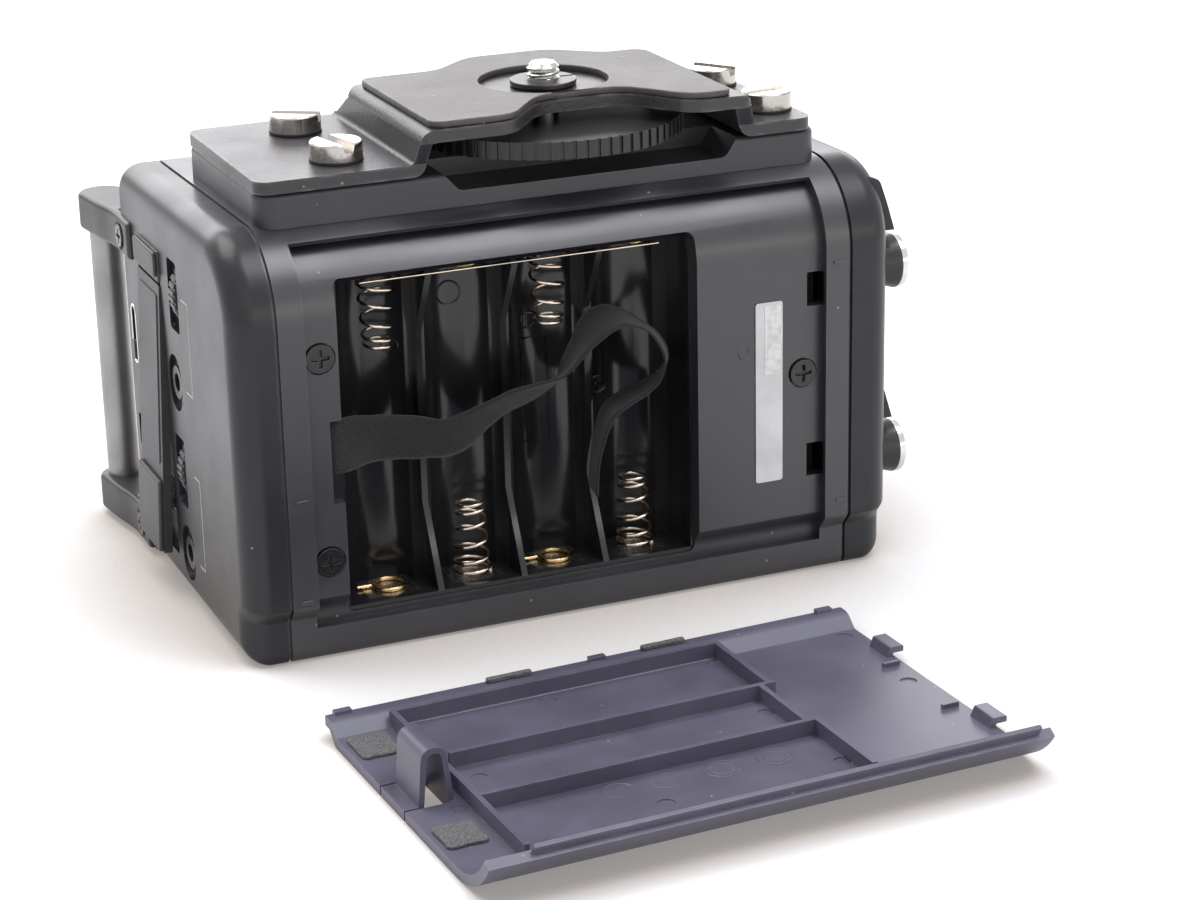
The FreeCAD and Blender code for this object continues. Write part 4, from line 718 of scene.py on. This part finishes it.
def makeFlapForms():
    def plateOn(name, low, high, margin, sunk, thick, edge):
        outline = arcCorners(corners(-flap["front"] + margin, -flap["rear"] - margin, low, high), [0.9] * 4, 6)
        return prism(name, outline, thick, edge, "left", (flap["skin"] + sunk, 0, 0))

    grip = plateOn("flap_grip", 8.1, 22.9, 0.25, 0.2, 1.1, 0.45)
    panel = plateOn("flap_face", 26.0, 60.4, 1.5, 0.15, 0.4, 0.14)
    for piece in (grip, panel):
        hinge = Vector((flap["skin"], 0, flap["hinge"])) * mm
        piece.data.transform(Matrix.Translation(hinge) @ Matrix.Rotation(math.radians(flap["open"]), 4, "Y")
                             @ Matrix.Translation(-hinge))
        finishWith(piece, "flap_rubber", bodyOf["side_flap"])
    crown = plateOn("anchor_crown", 64.2, 69.1, 0.3, 0.2, 0.95, 0.4)
    finishWith(crown, "flap_rubber", bodyOf["flap_anchor"])


makeFlapForms()


# printed lines and the slide switch's rim on the left side; a drawing's left is the body's +Y there
sideMarks = {"face": -66.0, "lines": [[(7.0, 63.8), (10.9, 63.8), (10.9, 45.5), (6.8, 45.5)],
                                      [(8.2, 28.9), (11.5, 28.9), (11.5, 10.6), (8.0, 10.6)]],
             "slot": (31.4, 40.5, 52.5, 1.6)}
printed = bead("side_lines", sideMarks["lines"], 0.16, "left", (sideMarks["face"], 0, 0), flat=0.25)
dressAs(printed, "label_silver", "recorder", "whiteInk")
slotY, slotLow, slotHigh, slotHalf = sideMarks["slot"]
rimLine = arcCorners(corners(-slotY - slotHalf, -slotY + slotHalf, slotLow, slotHigh), [slotHalf * 0.98] * 4, 8)
slotRim = bead("hold_slot_rim", [rimLine], 0.2, "left", (sideMarks["face"], 0, 0), True, 0.7)
dressAs(slotRim, "rim_metal", "recorder")

# small moulded marks of the battery side: four nubs on the frame and a ring on the recess floor
nubs = {"places": [(-54.5, 32.6), (-54.6, 12.9), (55.0, 63.8), (55.8, 15.0)], "half": (1.2, 0.35), "face": -40.0}
for k, (x, z) in enumerate(nubs["places"]):
    w, h = nubs["half"]
    outline = arcCorners(corners(x - w, x + w, z - h, z + h), [0.3] * 4, 4)
    dressAs(prism(f"frame_nub_{k + 1}", outline, 0.34, 0.12, "battery", (0, nubs["face"] + 0.1, 0)),
            "black_plastic", "recorder")
dressAs(bead("recess_ring", [ringLine(35.7, 47.5, 1.15)], 0.16, "battery", (0, -37.8, 0), True, 0.8),
        "black_plastic", "recorder")

# bare white field in the upper half of the rating plate's place
field = arcCorners(corners(40.0, 43.5, 42.5, 56.3), [0.3] * 4, 4)
whiteField = prism("plate_field", field, 0.10, 0.03, "battery", (0, -38.02, 0))
dressAs(whiteField, "label_silver", "recorder", "paperWhite")

# inside the bay: a bright steel strip under the top wall as a painted highlight along the tray's edge, moulded rings
# and a frame on the channels, a small screw
bay = {"axisY": -28.5, "radius": 7.6, "cells": (-34.9, -17.9, -0.9, 16.1)}


def channelY(x):
    axis = min(bay["cells"], key=lambda c: abs(c - x))
    return bay["axisY"] + math.sqrt(max(0.0, bay["radius"] ** 2 - (x - axis) ** 2))


def onChannel(points):
    return [(x, z, 0.1 - channelY(x)) for x, z in points]


# painted highlight: a bright steel strip put where a highlight runs along the tray's top edge
strip = arcCorners(corners(-39.6, 20.0, 70.4, 70.7), [0.14] * 4, 4)
dressAs(prism("bay_highlight_strip", strip, 1.2, 0.1, "battery", (0, -32.6, 0)), "spring_steel", "recorder")


def boxLine(x0, x1, z0, z1, steps=8):
    turns = corners(x0, x1, z0, z1)
    line = []
    for (ax, az), (bx, bz) in zip(turns, turns[1:] + turns[:1]):
        line += [(ax + (bx - ax) * k / steps, az + (bz - az) * k / steps) for k in range(steps)]
    return line


bayLines = [onChannel(ringLine(-18.1, 62.5, 2.3)), onChannel(ringLine(-30.7, 54.3, 1.4)),
            onChannel(ringLine(-2.3, 54.9, 1.5)), onChannel(boxLine(-30.8, -30.6, 53.2, 55.4, 3)),
            onChannel(boxLine(-2.4, -2.2, 53.6, 56.2, 3)), onChannel(boxLine(-3.9, 1.5, 30.5, 51.4))]
dressAs(bead("channel_marks", bayLines, 0.17, "battery", (0, 0, 0), True), "tray_plastic", "recorder")


def makeScrew(name, place, radius, high, side, turn, slotSize):
    # a round head with a crossed slot, on the face that looks along +Y or -Y (side 1 or -1)
    bpy.ops.object.select_all(action="DESELECT")
    bpy.ops.mesh.primitive_cylinder_add(vertices=40, radius=radius * mm, depth=high * mm,
                                        location=Vector(place) * mm, rotation=(math.pi / 2, 0, 0))
    head = bpy.context.active_object
    head.name = name
    bpy.ops.object.transform_apply(location=True, rotation=True, scale=True)
    rounded(head, 0.25 * mm, 3)
    mouth = Vector((place[0], place[1] + side * high / 2, place[2])) * mm
    for angle in (turn, turn + math.pi / 2):
        bpy.ops.object.select_all(action="DESELECT")
        bpy.ops.mesh.primitive_cube_add(size=1, location=mouth, rotation=(0, angle, 0))
        bar = bpy.context.active_object
        bar.scale = Vector(slotSize) * mm
        carved(head, bar)
    dressAs(head, "black_screws", "recorder")


makeScrew("bay_screw", (10.9, -23.6, 41.0), 1.9, 1.2, -1, 0.3, (2.47, 0.7, 0.532))

# plain moulded rings on the cover where the real one is marked: across, along and radius on the lying cover
coverRings = {"places": [(1.8, -47.2, 3.1), (12.0, -47.1, 3.1), (-8.6, -47.0, 2.7), (-17.2, -46.6, 2.7)],
              "height": 1.9, "line": 0.15}
rings = [ringLine(x, y, r) for x, y, r in coverRings["places"]]
rings += [ringLine(x, y, r - 1.1) for x, y, r in coverRings["places"][:2]]
coverMarks = bead("cover_rings", rings, coverRings["line"], "up", (0, 0, coverRings["height"]), True, 0.9)
layDown(coverMarks)
dressAs(coverMarks, "cover_plastic", bodyOf["battery_cover"])

# printing on the control panel: scales round both level knobs, plain numbers and the keys' usual signs
panel = {"face": 40.4, "knobs": (16.0, 38.0), "knobZ": 56.0, "scale": (9.3, 10.5), "numbers": 12.3, "sweep": 150,
         "steps": 10, "keyFace": 42.4, "keyZ": 20.0, "keys": {"stop": -38.0, "play": -23.0, "record": -8.0}}


def printPanel():
    ticks, numbers = [], []
    near, far = panel["scale"]
    for x in panel["knobs"]:
        for k in range(panel["steps"] + 1):
            a = math.radians(panel["sweep"] * (2 * k / panel["steps"] - 1))
            ticks.append([(r * math.sin(a) - x, panel["knobZ"] + r * math.cos(a)) for r in (near, far)])
            if k % 5 == 0:
                r = panel["numbers"]
                numbers.append((str(k), (r * math.sin(a) - x, panel["knobZ"] + r * math.cos(a))))
    numbers += [("2", (-16.0, 41.6)), ("1", (-38.0, 41.6)), ("1", (-49.4, 30.6)), ("0", (-49.4, 22.0))]
    face = (0, panel["face"], 0)
    scales = bead("level_ticks", ticks, 0.16, "control", face, flat=0.3)
    dressAs(scales, "label_silver", "recorder", "whiteInk")
    dressAs(lettered("panel_numbers", numbers, 2.5, "control", face), "label_silver", "recorder", "whiteInk")
    keyFace = (0, panel["keyFace"] - 0.03, 0)
    v = panel["keyZ"]
    for name, x in panel["keys"].items():
        u = -x
        shape = {"stop": corners(u - 1.3, u + 1.3, v - 1.3, v + 1.3),
                 "play": [(u - 1.2, v - 1.5), (u + 1.6, v), (u - 1.2, v + 1.5)],
                 "record": ringLine(u, v, 1.45)}[name]
        sign = prism(f"{name}_sign", shape, 0.09, 0.02, "control", keyFace)
        dressAs(sign, "key_plastic", f"{name}_button", "redInk" if name == "record" else "whiteInk")
    inputs = lettered("input_numbers", [("1", (-15.2, 59.5)), ("2", (-15.2, 22.5))], 4.0, "right", (67.1, 0, 0))
    dressAs(inputs, "label_silver", "recorder", "whiteInk")


printPanel()


# input sockets on the right end: two raised rings, a release tab and three contacts on each
sockets = {"end": 67.1, "face": 67.4, "y": 4.0, "heights": (59.5, 22.5), "rings": ((11.4, 72), (4.3, 40)),
           "tab": ((2.2, 9.0), (1.7, 14.6)), "contacts": {"out": 7.0, "radius": 1.5, "angles": (30, 150, 270)}}


def makeSocketForms(number, z):
    y = sockets["y"]
    rings = [ringLine(y, z, radius, count) for radius, count in sockets["rings"]]
    collar = bead(f"socket_collar_{number}", rings, 0.55, "right", (sockets["face"] - 0.25, 0, 0), True, 0.9)
    dressAs(collar, "jack_plastic", "recorder")
    (foot, low), (tip, high) = sockets["tab"]
    tabLine = arcCorners([(y - foot, z + low), (y + foot, z + low), (y + tip, z + high), (y - tip, z + high)],
                         [0.6, 0.6, 1.2, 1.2], 6)
    tab = prism(f"release_tab_{number}", tabLine, 1.5, 0.4, "right", (sockets["end"] - 0.1, 0, 0))
    dressAs(tab, "key_plastic", "recorder")
    contacts = sockets["contacts"]
    cups = [ringLine(y + contacts["out"] * math.cos(math.radians(a)), z + contacts["out"] * math.sin(math.radians(a)),
                     contacts["radius"], 24) for a in contacts["angles"]]
    cupLines = bead(f"socket_contacts_{number}", cups, 0.2, "right", (sockets["face"], 0, 0), True, 0.6)
    dressAs(cupLines, "contact_nickel", "recorder")


for number, z in enumerate(sockets["heights"], 1):
    makeSocketForms(number, z)


# crossed screws at the corners of the control panel
panelScrews = [(-48.8, 69.8), (48.8, 69.8), (-48.8, 11.2), (48.8, 11.2)]
for number, (x, z) in enumerate(panelScrews, 1):
    makeScrew(f"panel_screw_{number}", (x, panel["face"] + 0.2, z), 1.9, 1.0, 1, 0.4 * number, (2.4, 0.8, 0.5))
print("new pieces made")

# what is left of the CAD nodes: inner parts that keep their own meshes
for node, source in nodes.items():
    if not source.hide_render:
        source.data.materials.clear()
        source.data.materials.append(finishes[slotOf[node]])
print("nodes dressed:", len(edgeWidths))


# floor, sky and lamps: a white table in soft light from above and behind, with a weak warm strip in front; near the
# object the table's colour is painted darker and warmer as a contact shadow
studio = {"floorSize": 6.0, "floorAlbedo": 0.80, "floorGlow": 0.27, "skyLevel": 0.42, "shadowReach": 0.075,
          "shadowTint": (0.26, 0.18, 0.12), "fadeFrom": 0.9, "fadeTo": 2.2, "farGlow": 3.6}


def seenDirectly(f):
    path = f.node("ShaderNodeLightPath", take="Is Camera Ray")
    glossy = Signal(f, path.socket.node.outputs["Is Glossy Ray"])
    through = Signal(f, path.socket.node.outputs["Is Transmission Ray"])
    return path.most(glossy).most(through)


def layTable(setup):
    bpy.ops.mesh.primitive_plane_add(size=setup["floorSize"], location=(0, 0, 0))
    table = bpy.context.active_object
    table.name = "table"
    f = Finish("whiteTable")
    albedo = setup["floorAlbedo"]
    # painted shadow: where ambient occlusion finds the object near, the table's colour turns to the dark warm shadow
    # tint
    unshaded = f.node("ShaderNodeAmbientOcclusion", {"samples": 8}, {"Distance": setup["shadowReach"]}, take="AO")
    openness = f.band(unshaded, 0.25, 0.95)
    white = f.blend(openness, setup["shadowTint"], (albedo, albedo, albedo * 1.01))
    matt = f.node("ShaderNodeBsdfDiffuse", {}, {"Color": white})
    reach = f.node("ShaderNodeVectorMath", {"operation": "LENGTH"}, {0: f.place}, take="Value")
    far = f.band(reach, setup["fadeFrom"], setup["fadeTo"])   # the table fades to white past the lamps
    glowColour = f.blend(far, (1, 1, 1), (setup["farGlow"],) * 3)
    strength = seenDirectly(f) * setup["floorGlow"]
    glow = f.node("ShaderNodeEmission", {}, {"Color": glowColour, "Strength": strength})
    both = f.node("ShaderNodeAddShader", {}, {0: matt, 1: glow})
    f.node("ShaderNodeOutputMaterial", {}, {"Surface": both})
    table.data.materials.append(f.material)


def openSky(setup):
    world = bpy.data.worlds.new("whiteRoom")
    scene.world = world
    world.use_nodes = True
    tree = world.node_tree
    tree.nodes.clear()
    path = tree.nodes.new("ShaderNodeLightPath")
    seen = tree.nodes.new("ShaderNodeMath")
    seen.operation = "MAXIMUM"
    tree.links.new(path.outputs["Is Camera Ray"], seen.inputs[0])
    tree.links.new(path.outputs["Is Glossy Ray"], seen.inputs[1])
    level = tree.nodes.new("ShaderNodeMapRange")
    level.inputs["To Min"].default_value = setup["skyLevel"]
    level.inputs["To Max"].default_value = 1.0
    tree.links.new(seen.outputs[0], level.inputs["Value"])
    sky = tree.nodes.new("ShaderNodeBackground")
    sky.inputs["Color"].default_value = (0.985, 0.985, 1.0, 1)
    tree.links.new(level.outputs[0], sky.inputs["Strength"])
    output = tree.nodes.new("ShaderNodeOutputWorld")
    tree.links.new(sky.outputs[0], output.inputs["Surface"])


def hangLamp(name, place, aim, size, power, colour):
    data = bpy.data.lights.new(name, "AREA")
    data.shape = "RECTANGLE"
    data.size, data.size_y = size
    data.energy = power
    data.color = colour
    lamp = bpy.data.objects.new(name, data)
    scene.collection.objects.link(lamp)
    lamp.location = place
    lamp.rotation_euler = (Vector(aim) - Vector(place)).to_track_quat("-Z", "Y").to_euler()


bpy.ops.object.select_all(action="DESELECT")
layTable(studio)
openSky(studio)
lamps = {   # place, aim, size, power and colour
    "keyBox": ((-0.50, 0.60, 1.32), (0, 0, 0.03), (1.0, 1.0), 16.0, (1.0, 0.99, 0.98)),
    "overBox": ((0.36, -0.34, 1.20), (0, 0, 0.03), (0.7, 0.7), 9.5, (0.93, 0.94, 1.0)),
    "backBox": ((0.32, 1.5, 0.66), (0, 0, 0.05), (2.2, 0.6), 15.0, (1.0, 0.98, 1.0)),
    "frontStrip": ((0.42, -1.10, 0.24), (0, 0, 0.06), (1.3, 0.16), 2.0, (1.0, 0.90, 0.76)),
    "frontBox": ((-0.5, -1.3, 0.8), (0, 0, 0.03), (1.2, 0.7), 1.2, (0.96, 0.97, 1.0)),
}
for lampName, lampFacts in lamps.items():
    hangLamp(lampName, *lampFacts)
print("studio lit")
